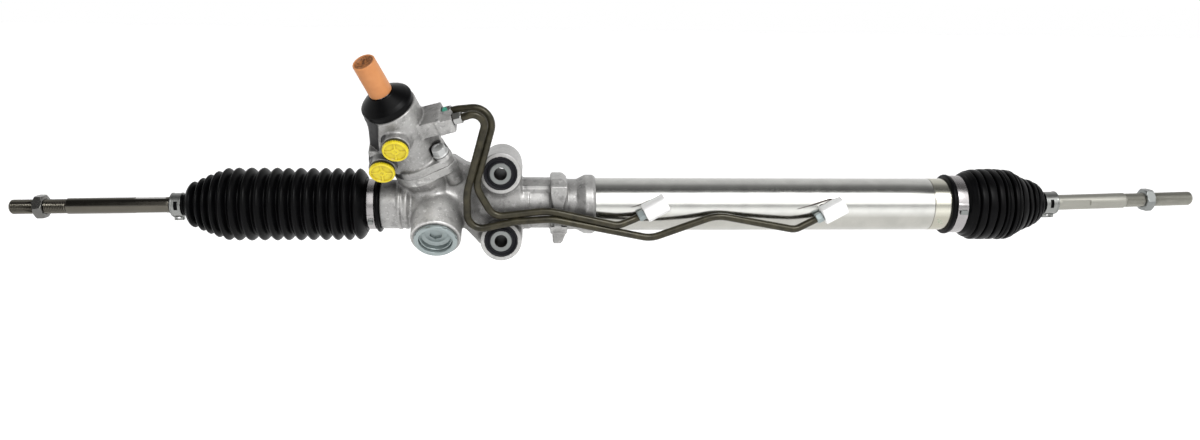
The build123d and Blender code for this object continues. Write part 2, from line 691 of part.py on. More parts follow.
plug_plane = Plane(origin=pin_point, x_dir=side_dir, z_dir=yoke_dir)
with BuildPart() as port_plug_upper:
    with BuildSketch(plug_plane.offset(port_face + 0.1)):
        with Locations((port1_side, port1_h)):
            Circle(12.0)
    extrude(amount=6.0)
    fillet(port_plug_upper.faces().sort_by(Axis(pin_point, yoke_dir))[-1].edges(), radius=1.2)
    with BuildSketch(plug_plane.offset(24)):
        with Locations((port1_side, port1_h)):
            Circle(8.0)
    extrude(amount=9)
save(port_plug_upper, "port_plug_upper")

with BuildPart() as port_plug_lower:
    with BuildSketch(plug_plane.offset(port_face + 0.1)):
        with Locations((port2_side, port2_h)):
            Circle(12.0)
    extrude(amount=6.0)
    fillet(port_plug_lower.faces().sort_by(Axis(pin_point, yoke_dir))[-1].edges(), radius=1.2)
    with BuildSketch(plug_plane.offset(24)):
        with Locations((port2_side, port2_h)):
            Circle(8.0)
    extrude(amount=9)
save(port_plug_lower, "port_plug_lower")

# ---------------------------------------------------------------------------
# Yoke: guide, liner, spring, plug and lock ring
# ---------------------------------------------------------------------------
with BuildPart() as rack_guide:
    with BuildSketch(yoke_profile):
        with BuildLine():
            Polyline((0, 6), (15.0, 6), (15.0, 26.2), (14.2, 27), (10.5, 27), (10.5, 20), (0, 20), close=True)
        make_face()
    revolve(axis=yoke_axis)
    with BuildSketch(rack_plane):
        with BuildLine():
            Polyline((pinion_x - 20, 0), (pinion_x - 20, 14.05), (pinion_x + 20, 14.05), (pinion_x + 20, 0), close=True)
        make_face()
    revolve(axis=rack_axis, mode=Mode.SUBTRACT)
save(rack_guide, "rack_guide")

with BuildPart() as rack_guide_liner:
    with BuildSketch(Plane(origin=along(rack_point, (-10.5, (1, 0, 0))), x_dir=(0, -st, ct), z_dir=(1, 0, 0))):
        with BuildLine():
            a0 = math.radians(45)
            CenterArc((0, 0), 13.05, 45, 90)
            Line((13.05 * math.cos(math.radians(135)), 13.05 * math.sin(math.radians(135))),
                 (14.0 * math.cos(math.radians(135)), 14.0 * math.sin(math.radians(135))))
            CenterArc((0, 0), 14.0, 45, 90)
            Line((14.0 * math.cos(a0), 14.0 * math.sin(a0)), (13.05 * math.cos(a0), 13.05 * math.sin(a0)))
        make_face()
    extrude(amount=21)
save(rack_guide_liner, "rack_guide_liner")

with BuildPart() as rack_guide_spring:
    with BuildLine():
        coil = Helix(pitch=4.2, height=12.2, radius=8.0, center=along(rack_point, (21.5, yoke_dir)), direction=yoke_dir)
    with BuildSketch(Plane(origin=coil @ 0, z_dir=coil % 0)):
        Circle(1.35)
    sweep(path=coil, is_frenet=True)
save(rack_guide_spring, "rack_guide_spring")

with BuildPart() as rack_guide_plug:
    with BuildSketch(yoke_profile):
        with BuildLine():
            Polyline((0, 39.5), (0, 40.5), (10.5, 40.5), (14.2, 42.2), (14.2, 46.6), (14.6, 47.2), (15.4, 47.2), (16.0, 46.6),
                     (16.0, 31.6), (15.4, 31), (10.5, 31), (10.5, 36.5), (0, 36.5), close=True)
        make_face()
    revolve(axis=yoke_axis)
    with BuildSketch(yoke_plane(39)):
        RegularPolygon(6.9, 6)
    extrude(amount=3, mode=Mode.SUBTRACT)
save(rack_guide_plug, "rack_guide_plug")

with BuildPart() as rack_guide_lock_ring:
    with BuildSketch(yoke_profile):
        with BuildLine():
            Polyline((16.05, yoke_h + 0.05), (20.3, yoke_h + 0.05), (20.9, yoke_h + 0.7), (20.9, yoke_h + 3.0),
                     (20.0, yoke_h + 4.0), (17.0, yoke_h + 4.0), (16.05, yoke_h + 3.2), close=True)
        make_face()
    revolve(axis=yoke_axis)
save(rack_guide_lock_ring, "rack_guide_lock_ring")

# ---------------------------------------------------------------------------
# Mounting bushes
# ---------------------------------------------------------------------------
for name, sign in (("upper", 1), ("lower", -1)):
    zc = sign * bush_spacing / 2
    bush_axis = Axis((0, 0, zc), (0, 1, 0))
    bush_profile = Plane(origin=(0, 0, zc), x_dir=(1, 0, 0), z_dir=(0, 0, 1))
    with BuildPart() as bush:
        with BuildSketch(bush_profile):
            with BuildLine():
                Polyline((sleeve_r + 0.02, -31.2), (15.0, -31.2), (bush_r - 0.02, -30.2), (bush_r - 0.02, 30.2),
                         (15.0, 31.2), (sleeve_r + 0.02, 31.2), close=True)
            make_face()
        revolve(axis=bush_axis)
    save(bush, "bushing_rubber_" + name)
    with BuildPart() as inner:
        with BuildSketch(bush_profile):
            with BuildLine():
                Polyline((sleeve_bore_r, -32), (sleeve_r - 0.8, -32), (sleeve_r, -31.3), (sleeve_r, 31.3),
                         (sleeve_r - 0.8, 32), (sleeve_bore_r, 32), close=True)
            make_face()
        revolve(axis=bush_axis)
    save(inner, "bushing_sleeve_" + name)

# ---------------------------------------------------------------------------
# Pressure pipes: straight runs joined by tangent arcs
# ---------------------------------------------------------------------------
short_route = [tower(92, 36, -6), tower(92, 55, -6), at(-1.5, -47.5, 102.9), at(-23.4, -36.5, 24.8),
               at(-6.8, -35.5, -5.1), at(45.3, -35.8, 1.2), at(113.0, -36.9, -13.5),
               along(port_left, (11.0, port_dir)), along(port_left, (-6.0, port_dir))]
short_radii = [30.0, 16.0, 22.0, 15.0, 60.0, 16.0, 12.0]
long_route = [tower(92.6, 47, 8), tower(92.6, 64, 8), at(-9.8, -57.0, 101.6), at(-31.7, -37.5, 18.7),
              at(-31.6, -36.4, -19.3), at(13.7, -36.6, -9.4), at(49.2, -36.2, -7.1), at(145.8, -33.2, -27.1),
              at(210.3, -31.5, -4.5), at(288.3, -33.0, -18.7),
              along(port_right, (11.0, port_dir)), along(port_right, (-6.0, port_dir))]
long_radii = [20.0, 10.4, 40.0, 14.0, 50.0, 60.0, 30.0, 40.0, 15.0, 12.0]


def tangent(a, b):
    return unit(tuple(q - p for p, q in zip(a, b)))


with BuildPart() as pressure_pipe_short:
    with BuildLine():
        route = FilletPolyline(*short_route, radius=short_radii)
    with BuildSketch(Plane(origin=short_route[0], z_dir=tangent(short_route[0], short_route[1]))):
        Circle(pipe_r)
    sweep(path=route)
print("short pipe", round(route.length, 2), round(pressure_pipe_short.part.volume / (math.pi * pipe_r ** 2), 2))
save(pressure_pipe_short, "pressure_pipe_short")

with BuildPart() as pressure_pipe_long:
    with BuildLine():
        route = FilletPolyline(*long_route, radius=long_radii)
    with BuildSketch(Plane(origin=long_route[0], z_dir=tangent(long_route[0], long_route[1]))):
        Circle(pipe_r)
    sweep(path=route)
print("long pipe", round(route.length, 2), round(pressure_pipe_long.part.volume / (math.pi * pipe_r ** 2), 2))
save(pressure_pipe_long, "pressure_pipe_long")

with BuildPart() as valve_flare_nuts:
    for base, start in ((tower(92, 42.05, -6), -7), (tower(92.6, 53.05, 8), -7)):
        pl = Plane(origin=base, x_dir=pin_dir, z_dir=side_dir)
        with BuildSketch(pl):
            RegularPolygon(5.77, 6)
        extrude(amount=8.0)
        with BuildSketch(pl.offset(start)):
            Circle(5.0)
        extrude(amount=-start)
        with BuildSketch(pl.offset(start - 1)):
            Circle(pipe_r + 0.03)
        extrude(amount=20, mode=Mode.SUBTRACT)
save(valve_flare_nuts, "valve_flare_nuts")

with BuildPart() as cylinder_flare_nuts:
    for base in (port_left, port_right):
        pl = Plane(origin=along(base, (0.05, port_dir)), x_dir=port_up, z_dir=port_dir)
        with BuildSketch(pl):
            RegularPolygon(5.4, 6)
        extrude(amount=7.0)
        with BuildSketch(pl.offset(-7.5)):
            Circle(4.7)
        extrude(amount=7.5)
        with BuildSketch(pl.offset(-8)):
            Circle(pipe_r + 0.03)
        extrude(amount=20, mode=Mode.SUBTRACT)
save(cylinder_flare_nuts, "cylinder_flare_nuts")

# ---------------------------------------------------------------------------
# Ball sockets, seats, tie rods, nuts, clips and bellows, left and right
# ---------------------------------------------------------------------------
seat_r = 13.5
cavity_r = 13.55
mouth = math.radians(52)
seat_open = math.radians(42)

for side, s, ball_x, angle, nut_t, rod_len, start in (
        ("left", -1, ball_left, -droop_left, nut_left, tip_left, start_left),
        ("right", 1, ball_right, rise_right, nut_right, tip_right, start_right)):
    centre = at(ball_x, 0, 0)
    out = (s, 0.0, 0.0)
    rod_dir = (s * math.cos(math.radians(angle)), 0.0, math.sin(math.radians(angle)))
    socket_plane = Plane(origin=centre, x_dir=out, z_dir=(0, -s, 0))
    rod_up = (-s * math.sin(math.radians(angle)), 0.0, math.cos(math.radians(angle)))
    rod_plane = Plane(origin=centre, x_dir=rod_dir, z_dir=(0, -s, 0))
    rod_axis = Axis(centre, rod_dir)

    with BuildPart() as claw_washer:
        with BuildSketch(socket_plane):
            with BuildLine():
                Polyline((-31.45, 8.1), (-31.45, 15.5), (-29.55, 15.5), (-29.55, 8.1), close=True)
            make_face()
        revolve(axis=Axis(centre, out))
    save(claw_washer, "claw_washer_" + side)

    with BuildPart() as socket:
        with BuildSketch(socket_plane):
            with BuildLine():
                Polyline((-55, 0), (-55, 7), (-54, 8.0), (-29.5, 8.0), (-29.5, 15.6), (-28, 17), (2, 17), (5, 16.6),
                         (10.2, 13.1), (cavity_r * math.cos(mouth), cavity_r * math.sin(mouth)))
                CenterArc((0, 0), cavity_r, 52, 128)
                Line((-cavity_r, 0), (-55, 0))
            make_face()
        revolve(axis=Axis(centre, out))
    save(socket, "ball_socket_" + side)

    with BuildPart() as seat:
        with BuildSketch(rod_plane):
            with BuildLine():
                CenterArc((0, 0), seat_r, 42, 128)
                CenterArc((0, 0), 12.05, 42, 128)
                Line((12.05 * math.cos(seat_open), 12.05 * math.sin(seat_open)),
                     (seat_r * math.cos(seat_open), seat_r * math.sin(seat_open)))
                Line((12.05 * math.cos(math.radians(170)), 12.05 * math.sin(math.radians(170))),
                     (seat_r * math.cos(math.radians(170)), seat_r * math.sin(math.radians(170))))
            make_face()
        revolve(axis=rod_axis)
    save(seat, "ball_seat_" + side)

    neck = 6.0
    xn = math.sqrt(ball_r ** 2 - neck ** 2)
    yb = math.sqrt(ball_r ** 2 - 10.0 ** 2)
    nut_out = nut_t + nut_h / 2 + 0.2
    with BuildPart() as tie_rod:
        with BuildSketch(rod_plane):
            with BuildLine():
                Polyline((-10, 0), (-10, yb))
                ThreePointArc((-10, yb), (0, ball_r), (xn, neck))
                Polyline((xn, neck), (21, neck), (27.5, rod_r), (38.5, rod_r), (39.5, 7.35), (51.5, 7.35), (52.5, rod_r),
                         (start - 1.0, rod_r), (start, shank_r), (nut_out, shank_r), (nut_out, thread_r),
                         (rod_len - 1.4, thread_r), (rod_len, thread_r - 1.4), (rod_len, 0), (-10, 0))
            make_face()
        revolve(axis=rod_axis)
        # wrench flats: above and below on the left rod, front and back on the right one
        with BuildSketch(Plane(origin=along(centre, (55.5, rod_dir)), x_dir=rod_up if side == "left" else (0, 1, 0),
                               z_dir=rod_dir)):
            with Locations((8.9, 0), (-8.9, 0)):
                Rectangle(4, 20)
        extrude(amount=30, mode=Mode.SUBTRACT)
    save(tie_rod, "tie_rod_" + side)

    with BuildPart() as nut:
        with BuildSketch(Plane(origin=along(centre, (nut_t - nut_h / 2, rod_dir)), x_dir=rod_up, z_dir=rod_dir)):
            RegularPolygon(nut_af / 2 / math.cos(math.radians(30)), 6)
        extrude(amount=nut_h)
        with BuildSketch(rod_plane):
            with BuildLine():
                Polyline((nut_t - nut_h / 2 - 1, 9.2), (nut_t - nut_h / 2 - 1, 13.5), (nut_t - nut_h / 2 + 1.7, 13.5),
                         close=True)
            make_face()
            with BuildLine():
                Polyline((nut_t + nut_h / 2 + 1, 9.2), (nut_t + nut_h / 2 + 1, 13.5), (nut_t + nut_h / 2 - 1.7, 13.5),
                         close=True)
            make_face()
        revolve(axis=rod_axis, mode=Mode.SUBTRACT)
        with BuildSketch(Plane(origin=along(centre, (nut_t - nut_h / 2 - 1, rod_dir)), x_dir=rod_up, z_dir=rod_dir)):
            Circle(shank_r + 0.04)
        extrude(amount=nut_h + 2, mode=Mode.SUBTRACT)
    save(nut, "lock_nut_" + side)

    clip_t, clip_half = (45.0, 5.0) if side == "left" else (43.4, 6.6)
    with BuildPart() as clip:
        with BuildSketch(rod_plane):
            with BuildLine():
                Polyline((clip_t - clip_half, 10.15), (clip_t - clip_half, 11.3), (clip_t + clip_half, 11.3), (clip_t + clip_half, 10.15),
                         close=True)
            make_face()
        revolve(axis=rod_axis)
        with BuildSketch(Plane(origin=along(centre, (clip_t - clip_half, rod_dir)), x_dir=rod_up, z_dir=rod_dir)):
            with Locations((-13.2, 0)):
                Rectangle(4.4, 5.5)
        extrude(amount=2 * clip_half)
    save(clip, "small_clip_" + side)

# large band clamps at the housing and at the tube
with BuildPart() as large_clamp_left:
    with BuildSketch(rack_plane):
        with BuildLine():
            Polyline((-129, 23.9), (-129, 24.7), (-121.9, 24.7), (-121.9, 23.9), close=True)
        make_face()
    revolve(axis=rack_axis)
save(large_clamp_left, "large_clamp_left")

with BuildPart() as large_clamp_right:
    with BuildSketch(rack_plane):
        with BuildLine():
            Polyline((453.6, 28.3), (453.6, 29.1), (464.4, 29.1), (464.4, 28.3), close=True)
        make_face()
    revolve(axis=rack_axis)
save(large_clamp_right, "large_clamp_right")

# left bellows: 11 even folds and a cone of 5
wall = 1.5
crests_l = [(-138.0, 35.0), (-148.3, 35.5), (-159.5, 35.5), (-171.1, 35.5), (-183.3, 35.5), (-195.2, 35.5),
            (-206.9, 35.5), (-217.8, 35.5), (-230.0, 35.5), (-242.3, 35.6), (-254.2, 35.6), (-264.0, 35.2),
            (-273.1, 32.2), (-281.2, 28.9), (-288.4, 25.8), (-296.6, 22.4)]
outer = [(-117.1, 21.55), (-117.1, 26.6), (-118.1, 27.6), (-119.8, 27.3), (-121.2, 23.8), (-129.4, 23.8), (-131.0, 26.8)]
for i, (x, r) in enumerate(crests_l):
    outer += [(x + 1.0, r), (x - 1.0, r)]
    if i + 1 < len(crests_l):
        nx, nr = crests_l[i + 1]
        v = min(r, nr) - 6.8 if i < 11 else min(r, nr) - 5.0
        outer += [((x + nx) / 2 + 0.8, v), ((x + nx) / 2 - 0.8, v)]
outer += [(-302.0, 13.5), (-304.0, 11.0)]
inner = [(x, max(r - wall, 9.5)) for x, r in outer[7:-1]]
with BuildPart() as bellows_left:
    with BuildSketch(rack_plane):
        with BuildLine():
            Polyline(*outer, (-304.0, 8.7), *[(x, r) for x, r in reversed(inner)], (-132.0, 21.55), close=True)
        make_face()
    revolve(axis=rack_axis)
    rod_l = (-math.cos(math.radians(droop_left)), 0.0, -math.sin(math.radians(droop_left)))
    with BuildSketch(Plane(origin=at(ball_left, 0, 0), x_dir=rod_l, z_dir=(0, 1, 0))):
        with BuildLine():
            Polyline((35.5, 7.6), (35.5, 10.05), (51.0, 10.05), (51.0, 7.45), (40.0, 7.45), (40.0, 7.6), close=True)
        make_face()
    revolve(axis=Axis(at(ball_left, 0, 0), rod_l))
    with BuildSketch(Plane(origin=at(ball_left, 0, 0), x_dir=rod_l, z_dir=(0, 1, 0))):
        with BuildLine():
            Polyline((20, 0), (20, 7.85), (39.2, 7.85), (39.9, 7.45), (60, 7.45), (60, 0), close=True)
        make_face()
    revolve(axis=Axis(at(ball_left, 0, 0), rod_l), mode=Mode.SUBTRACT)
save(bellows_left, "bellows_left")

# right bellows: pressed together, uneven folds
crests_r = [(470.6, 32.5), (478.4, 35.2), (488.0, 35.6), (497.0, 35.7), (504.6, 35.7), (513.5, 35.0), (524.5, 30.8),
            (531.3, 27.2), (537.6, 24.2), (544.2, 21.2)]
valleys_r = [(474.2, 31.2), (482.8, 33.0), (493.0, 33.4), (500.6, 33.2), (509.0, 33.0), (519.6, 30.9), (528.0, 26.6),
             (534.6, 23.2), (541.0, 19.8)]
outer = [(448.3, 26.25), (448.3, 29.2), (449.2, 30.2), (451.4, 30.2), (452.9, 28.2), (465.0, 28.2), (466.6, 30.4)]
for i, (x, r) in enumerate(crests_r):
    outer += [(x - 1.6, r), (x + 1.6, r)]
    if i < len(valleys_r):
        outer += [valleys_r[i]]
outer += [(548.8, 16.0), (551.0, 11.8)]
with BuildPart() as bellows_right:
    with BuildSketch(rack_plane):
        with BuildLine():
            Polyline(*outer, (551.0, 8.3), (545.0, 13.5), (538.0, 17.2), (528.0, 22.9), (519.0, 28.0), (511.0, 31.0),
                     (478.0, 31.0), (472.2, 27.5), (472.2, 26.25), close=True)
        make_face()
    revolve(axis=rack_axis)
    rod_r_dir = (math.cos(math.radians(rise_right)), 0.0, math.sin(math.radians(rise_right)))
    with BuildSketch(Plane(origin=at(ball_right, 0, 0), x_dir=rod_r_dir, z_dir=(0, -1, 0))):
        with BuildLine():
            Polyline((32.0, 7.6), (32.0, 10.05), (51.0, 10.05), (51.0, 7.45), (40.0, 7.45), (40.0, 7.6), close=True)
        make_face()
    revolve(axis=Axis(at(ball_right, 0, 0), rod_r_dir))
    with BuildSketch(Plane(origin=at(ball_right, 0, 0), x_dir=rod_r_dir, z_dir=(0, -1, 0))):
        with BuildLine():
            Polyline((20, 0), (20, 7.85), (39.2, 7.85), (39.9, 7.45), (60, 7.45), (60, 0), close=True)
        make_face()
    revolve(axis=Axis(at(ball_right, 0, 0), rod_r_dir), mode=Mode.SUBTRACT)
save(bellows_right, "bellows_right")
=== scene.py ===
import bpy
import json
import math
import numpy as np
import openvdb
from mathutils import Matrix, Vector


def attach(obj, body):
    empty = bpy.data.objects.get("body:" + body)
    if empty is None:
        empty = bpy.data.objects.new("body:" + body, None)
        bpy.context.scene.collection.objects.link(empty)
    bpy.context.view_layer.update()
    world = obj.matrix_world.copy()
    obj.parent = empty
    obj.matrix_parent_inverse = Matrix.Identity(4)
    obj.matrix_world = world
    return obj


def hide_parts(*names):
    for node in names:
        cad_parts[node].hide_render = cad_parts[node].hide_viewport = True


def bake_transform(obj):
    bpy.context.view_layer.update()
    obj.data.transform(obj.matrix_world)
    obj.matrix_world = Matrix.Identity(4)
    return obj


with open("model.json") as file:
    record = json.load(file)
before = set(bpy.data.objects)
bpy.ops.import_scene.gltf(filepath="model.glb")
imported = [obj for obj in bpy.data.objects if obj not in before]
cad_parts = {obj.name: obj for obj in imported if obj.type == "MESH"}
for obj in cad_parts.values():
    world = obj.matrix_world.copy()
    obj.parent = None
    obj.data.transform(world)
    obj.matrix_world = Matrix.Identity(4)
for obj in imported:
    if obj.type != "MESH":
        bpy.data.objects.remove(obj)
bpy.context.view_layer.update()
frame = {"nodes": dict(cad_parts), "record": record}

MM = 0.001
RZ = -3.0

# ---------------------------------------------------------------------------
# Row frame helpers, in millimetres
# ---------------------------------------------------------------------------
TURN, TILT = math.radians(34.0), math.radians(18.5)
N = np.array([0.0, -math.cos(TURN), -math.sin(TURN)])
D = np.array([-math.sin(TILT), -math.cos(TILT) * math.sin(TURN), math.cos(TILT) * math.cos(TURN)])
M = np.cross(D, N)
XA, YA, ZA = np.eye(3)


def at(x, y, z):
    return np.array([x, y, z + RZ], float)


RP = at(-62, 0, 0)
P0 = RP - 15.0 * N


def tower(h, a, b):
    return P0 + h * D + a * M + b * N


def yoke(h, a=0.0, b=0.0):
    return RP + h * N + a * XA + b * np.cross(N, XA)


def unit(v):
    v = np.asarray(v, float)
    return v / np.linalg.norm(v)


# ---------------------------------------------------------------------------
# Materials
# ---------------------------------------------------------------------------
def mat(name, base, metal=0.0, rough=0.5, spec=0.5, coat=0.0):
    m = bpy.data.materials.new(name)
    m.use_nodes = True
    b = m.node_tree.nodes["Principled BSDF"]
    b.inputs["Base Color"].default_value = (*base, 1)
    b.inputs["Metallic"].default_value = metal
    b.inputs["Roughness"].default_value = rough
    b.inputs["Specular IOR Level"].default_value = spec
    b.inputs["Coat Weight"].default_value = coat
    return m


def node(m, kind, **sets):
    n = m.node_tree.nodes.new(kind)
    for k, v in sets.items():
        if k in n.inputs:
            n.inputs[k].default_value = v
        else:
            setattr(n, k, v)
    return n


def link(m, a, b):
    m.node_tree.links.new(a, b)


def coords(m, scale=(1, 1, 1)):
    tc = node(m, "ShaderNodeTexCoord")
    mp = node(m, "ShaderNodeMapping")
    mp.inputs["Scale"].default_value = scale
    link(m, tc.outputs["Object"], mp.inputs["Vector"])
    return mp.outputs["Vector"]


def noise(m, vec, scale, detail=3.0, rough=0.55):
    n = node(m, "ShaderNodeTexNoise")
    n.inputs["Scale"].default_value = scale
    n.inputs["Detail"].default_value = detail
    n.inputs["Roughness"].default_value = rough
    link(m, vec, n.inputs["Vector"])
    return n.outputs["Fac"]


def ramp(m, fac, stops):
    r = node(m, "ShaderNodeValToRGB")
    e = r.color_ramp.elements
    while len(e) > 1:
        e.remove(e[-1])
    e[0].position, e[0].color = stops[0][0], (*stops[0][1], 1)
    for p, c in stops[1:]:
        x = e.new(p)
        x.color = (*c, 1)
    link(m, fac, r.inputs["Fac"])
    return r.outputs["Color"]


def math_node(m, op, a, b=None, clamp=False):
    n = node(m, "ShaderNodeMath", operation=op, use_clamp=clamp)
    for i, v in enumerate((a, b)):
        if v is None:
            continue
        if isinstance(v, (int, float)):
            n.inputs[i].default_value = v
        else:
            link(m, v, n.inputs[i])
    return n.outputs[0]


def bump(m, height, strength=0.3, dist=0.0002, normal=None):
    b = node(m, "ShaderNodeBump")
    b.inputs["Strength"].default_value = strength
    b.inputs["Distance"].default_value = dist
    link(m, height, b.inputs["Height"])
    if normal is not None:
        link(m, normal, b.inputs["Normal"])
    return b.outputs["Normal"]


def mix(m, fac, a, b):
    n = node(m, "ShaderNodeMix", data_type="RGBA")
    if isinstance(fac, (int, float)):
        n.inputs[0].default_value = fac
    else:
        link(m, fac, n.inputs[0])
    for i, v in ((6, a), (7, b)):
        if isinstance(v, tuple):
            n.inputs[i].default_value = (*v, 1)
        else:
            link(m, v, n.inputs[i])
    return n.outputs[2]


def shader(m):
    return m.node_tree.nodes["Principled BSDF"]


def spot(m, centre, radius, wobble=0.6, scale=500.0):
    """0..1 mask of an uneven daub round a point given in millimetres."""
    tc = node(m, "ShaderNodeTexCoord")
    sub = node(m, "ShaderNodeVectorMath", operation="DISTANCE")
    link(m, tc.outputs["Object"], sub.inputs[0])
    sub.inputs[1].default_value = tuple(float(c) * MM for c in centre)
    n = noise(m, tc.outputs["Object"], scale, 3.0)
    d = math_node(m, "DIVIDE", sub.outputs["Value"], radius * MM)
    d = math_node(m, "ADD", d, math_node(m, "MULTIPLY", math_node(m, "SUBTRACT", n, 0.5), wobble * 2.5))
    r = node(m, "ShaderNodeMapRange")
    r.inputs["From Min"].default_value = 1.05
    r.inputs["From Max"].default_value = 0.8
    link(m, d, r.inputs["Value"])
    return r.outputs["Result"]


def creases(m, lo, dist, power=1.4):
    """Painted shade in hollows and joints: multiplies the base colour towards lo where little open space is around."""
    b = shader(m)
    ao = node(m, "ShaderNodeAmbientOcclusion", samples=6)
    ao.inputs["Distance"].default_value = dist
    k = math_node(m, "POWER", ao.outputs["AO"], power)
    cur = b.inputs["Base Color"].links[0].from_socket if b.inputs["Base Color"].links else tuple(b.inputs["Base Color"].default_value[:3])
    n = node(m, "ShaderNodeMix", data_type="RGBA", blend_type="MULTIPLY")
    n.inputs[0].default_value = 1.0
    if isinstance(cur, tuple):
        n.inputs[6].default_value = (*cur, 1)
    else:
        link(m, cur, n.inputs[6])
    link(m, mix(m, k, lo, (1.0, 1.0, 1.0)), n.inputs[7])
    link(m, n.outputs[2], b.inputs["Base Color"])


# cast aluminium: grainy, slightly mottled; machined faces are marked by an attribute
alu = mat("cast_aluminium", (0.42, 0.42, 0.40), 0.55, 0.40)
v = coords(alu)
big = noise(alu, v, 38.0, 4.0, 0.6)
fine = noise(alu, v, 1500.0, 3.0, 0.6)
grain = noise(alu, v, 420.0, 4.0, 0.6)
att = node(alu, "ShaderNodeAttribute", attribute_name="machined")
cast_col = ramp(alu, big, [(0.30, (0.29, 0.287, 0.28)), (0.55, (0.385, 0.38, 0.37)), (0.75, (0.46, 0.455, 0.445))])
blotch = noise(alu, v, 150.0, 4.0, 0.65)
cast_col = mix(alu, math_node(alu, "DIVIDE", math_node(alu, "SUBTRACT", blotch, 0.50), 0.18, True), cast_col, (0.24, 0.237, 0.232))
cast_col = mix(alu, math_node(alu, "DIVIDE", math_node(alu, "SUBTRACT", noise(alu, v, 260.0, 3.0, 0.6), 0.58), 0.12, True), cast_col, (0.50, 0.495, 0.485))
col = mix(alu, att.outputs["Fac"], cast_col, (0.56, 0.555, 0.545))
link(alu, col, shader(alu).inputs["Base Color"])
rr = math_node(alu, "ADD", math_node(alu, "MULTIPLY", grain, 0.16), 0.31)
rr = math_node(alu, "SUBTRACT", rr, math_node(alu, "MULTIPLY", att.outputs["Fac"], 0.2), True)
link(alu, rr, shader(alu).inputs["Roughness"])
nb = bump(alu, grain, 0.28, 0.00025)
nb = bump(alu, fine, 0.22, 0.00008, nb)
link(alu, nb, shader(alu).inputs["Normal"])
# painted shade, with some grime, darkens the hollows and joints of the casting
creases(alu, (0.12, 0.115, 0.11), 0.022, 1.7)


def brushed(name, base, rough, axis_scale, streak=0.12, metal=1.0, bump_k=0.05):
    m = mat(name, base, metal, rough)
    vec = coords(m, axis_scale)
    n = noise(m, vec, 900.0, 4.0, 0.6)
    soft = noise(m, coords(m), 60.0, 3.0)
    r = math_node(m, "ADD", math_node(m, "MULTIPLY", n, streak), rough - streak * 0.5)
    r = math_node(m, "ADD", r, math_node(m, "MULTIPLY", math_node(m, "SUBTRACT", soft, 0.5), 0.08))
    link(m, r, shader(m).inputs["Roughness"])
    dark = tuple(c * 0.9 for c in base)
    link(m, ramp(m, soft, [(0.35, dark), (0.65, base)]), shader(m).inputs["Base Color"])
    link(m, bump(m, n, bump_k, 0.0001), shader(m).inputs["Normal"])
    return m


tube_steel = brushed("tube_steel", (0.64, 0.64, 0.61), 0.20, (0.04, 1, 1), 0.06, 1.0, 0.02)
bright = brushed("bright_steel", (0.60, 0.60, 0.59), 0.24, (1, 1, 1), 0.1)
zinc = brushed("zinc_steel", (0.40, 0.40, 0.39), 0.30, (0.6, 1, 1), 0.14)
zinc_blue = brushed("zinc_blue", (0.295, 0.337, 0.337), 0.32, (1, 1, 1), 0.14, 0.7)
rod_dark = brushed("rod_dark", (0.125, 0.117, 0.098), 0.17, (0.04, 1, 1), 0.05, 1.0, 0.02)
bolt_zinc = brushed("bolt_zinc", (0.52, 0.525, 0.52), 0.45, (1, 1, 1), 0.12, 0.5)
nut_grey = brushed("nut_grey", (0.23, 0.24, 0.235), 0.33, (1, 1, 1), 0.16)
nut_dark = brushed("nut_dark", (0.15, 0.148, 0.14), 0.26, (1, 1, 1), 0.14)
clip_grey = brushed("clip_grey", (0.27, 0.275, 0.265), 0.34, (1, 1, 1), 0.16)
band_steel = brushed("band_steel", (0.36, 0.345, 0.345), 0.26, (1, 1, 1), 0.16)
rod_light = brushed("rod_light", (0.34, 0.335, 0.30), 0.52, (0.1, 1, 1), 0.14)
ground = brushed("ground_steel", (0.45, 0.46, 0.47), 0.24, (1, 1, 1), 0.1)
phos = brushed("dark_steel", (0.16, 0.16, 0.165), 0.42, (1, 1, 1), 0.14)

# painted shade: near-black colour for the inside of the bush sleeve bores, where the hole is in shade
bore_painted_shade = mat("bore_painted_shade", (0.010, 0.009, 0.008), 0.2, 0.6, 0.15)
link(bore_painted_shade, bump(bore_painted_shade, noise(bore_painted_shade, coords(bore_painted_shade), 700.0, 3.0), 0.2, 0.0001), shader(bore_painted_shade).inputs["Normal"])

# dark braze colour of the collars at the port bosses; it also paints the dark reflection lines beside them
braze_and_painted_reflection = mat("braze_and_reflection_dark", (0.060, 0.045, 0.040), 0.5, 0.45)
link(braze_and_painted_reflection, bump(braze_and_painted_reflection, noise(braze_and_painted_reflection, coords(braze_and_painted_reflection), 600.0, 3.0), 0.3, 0.0002), shader(braze_and_painted_reflection).inputs["Normal"])

boss_white = brushed("boss_steel", (0.93, 0.93, 0.92), 0.42, (1, 1, 1), 0.1, 0.55)

pipe_mat = mat("pipe_coating", (0.040, 0.036, 0.020), 0.5, 0.36, 0.38, 0.06)
pv = coords(pipe_mat)
pn = noise(pipe_mat, pv, 140.0, 4.0)
link(pipe_mat, ramp(pipe_mat, pn, [(0.3, (0.018, 0.016, 0.009)), (0.7, (0.048, 0.042, 0.024))]), shader(pipe_mat).inputs["Base Color"])
link(pipe_mat, bump(pipe_mat, noise(pipe_mat, pv, 900.0, 3.0), 0.12, 0.0001), shader(pipe_mat).inputs["Normal"])
link(pipe_mat, math_node(pipe_mat, "ADD", math_node(pipe_mat, "MULTIPLY", pn, 0.2), 0.26), shader(pipe_mat).inputs["Roughness"])


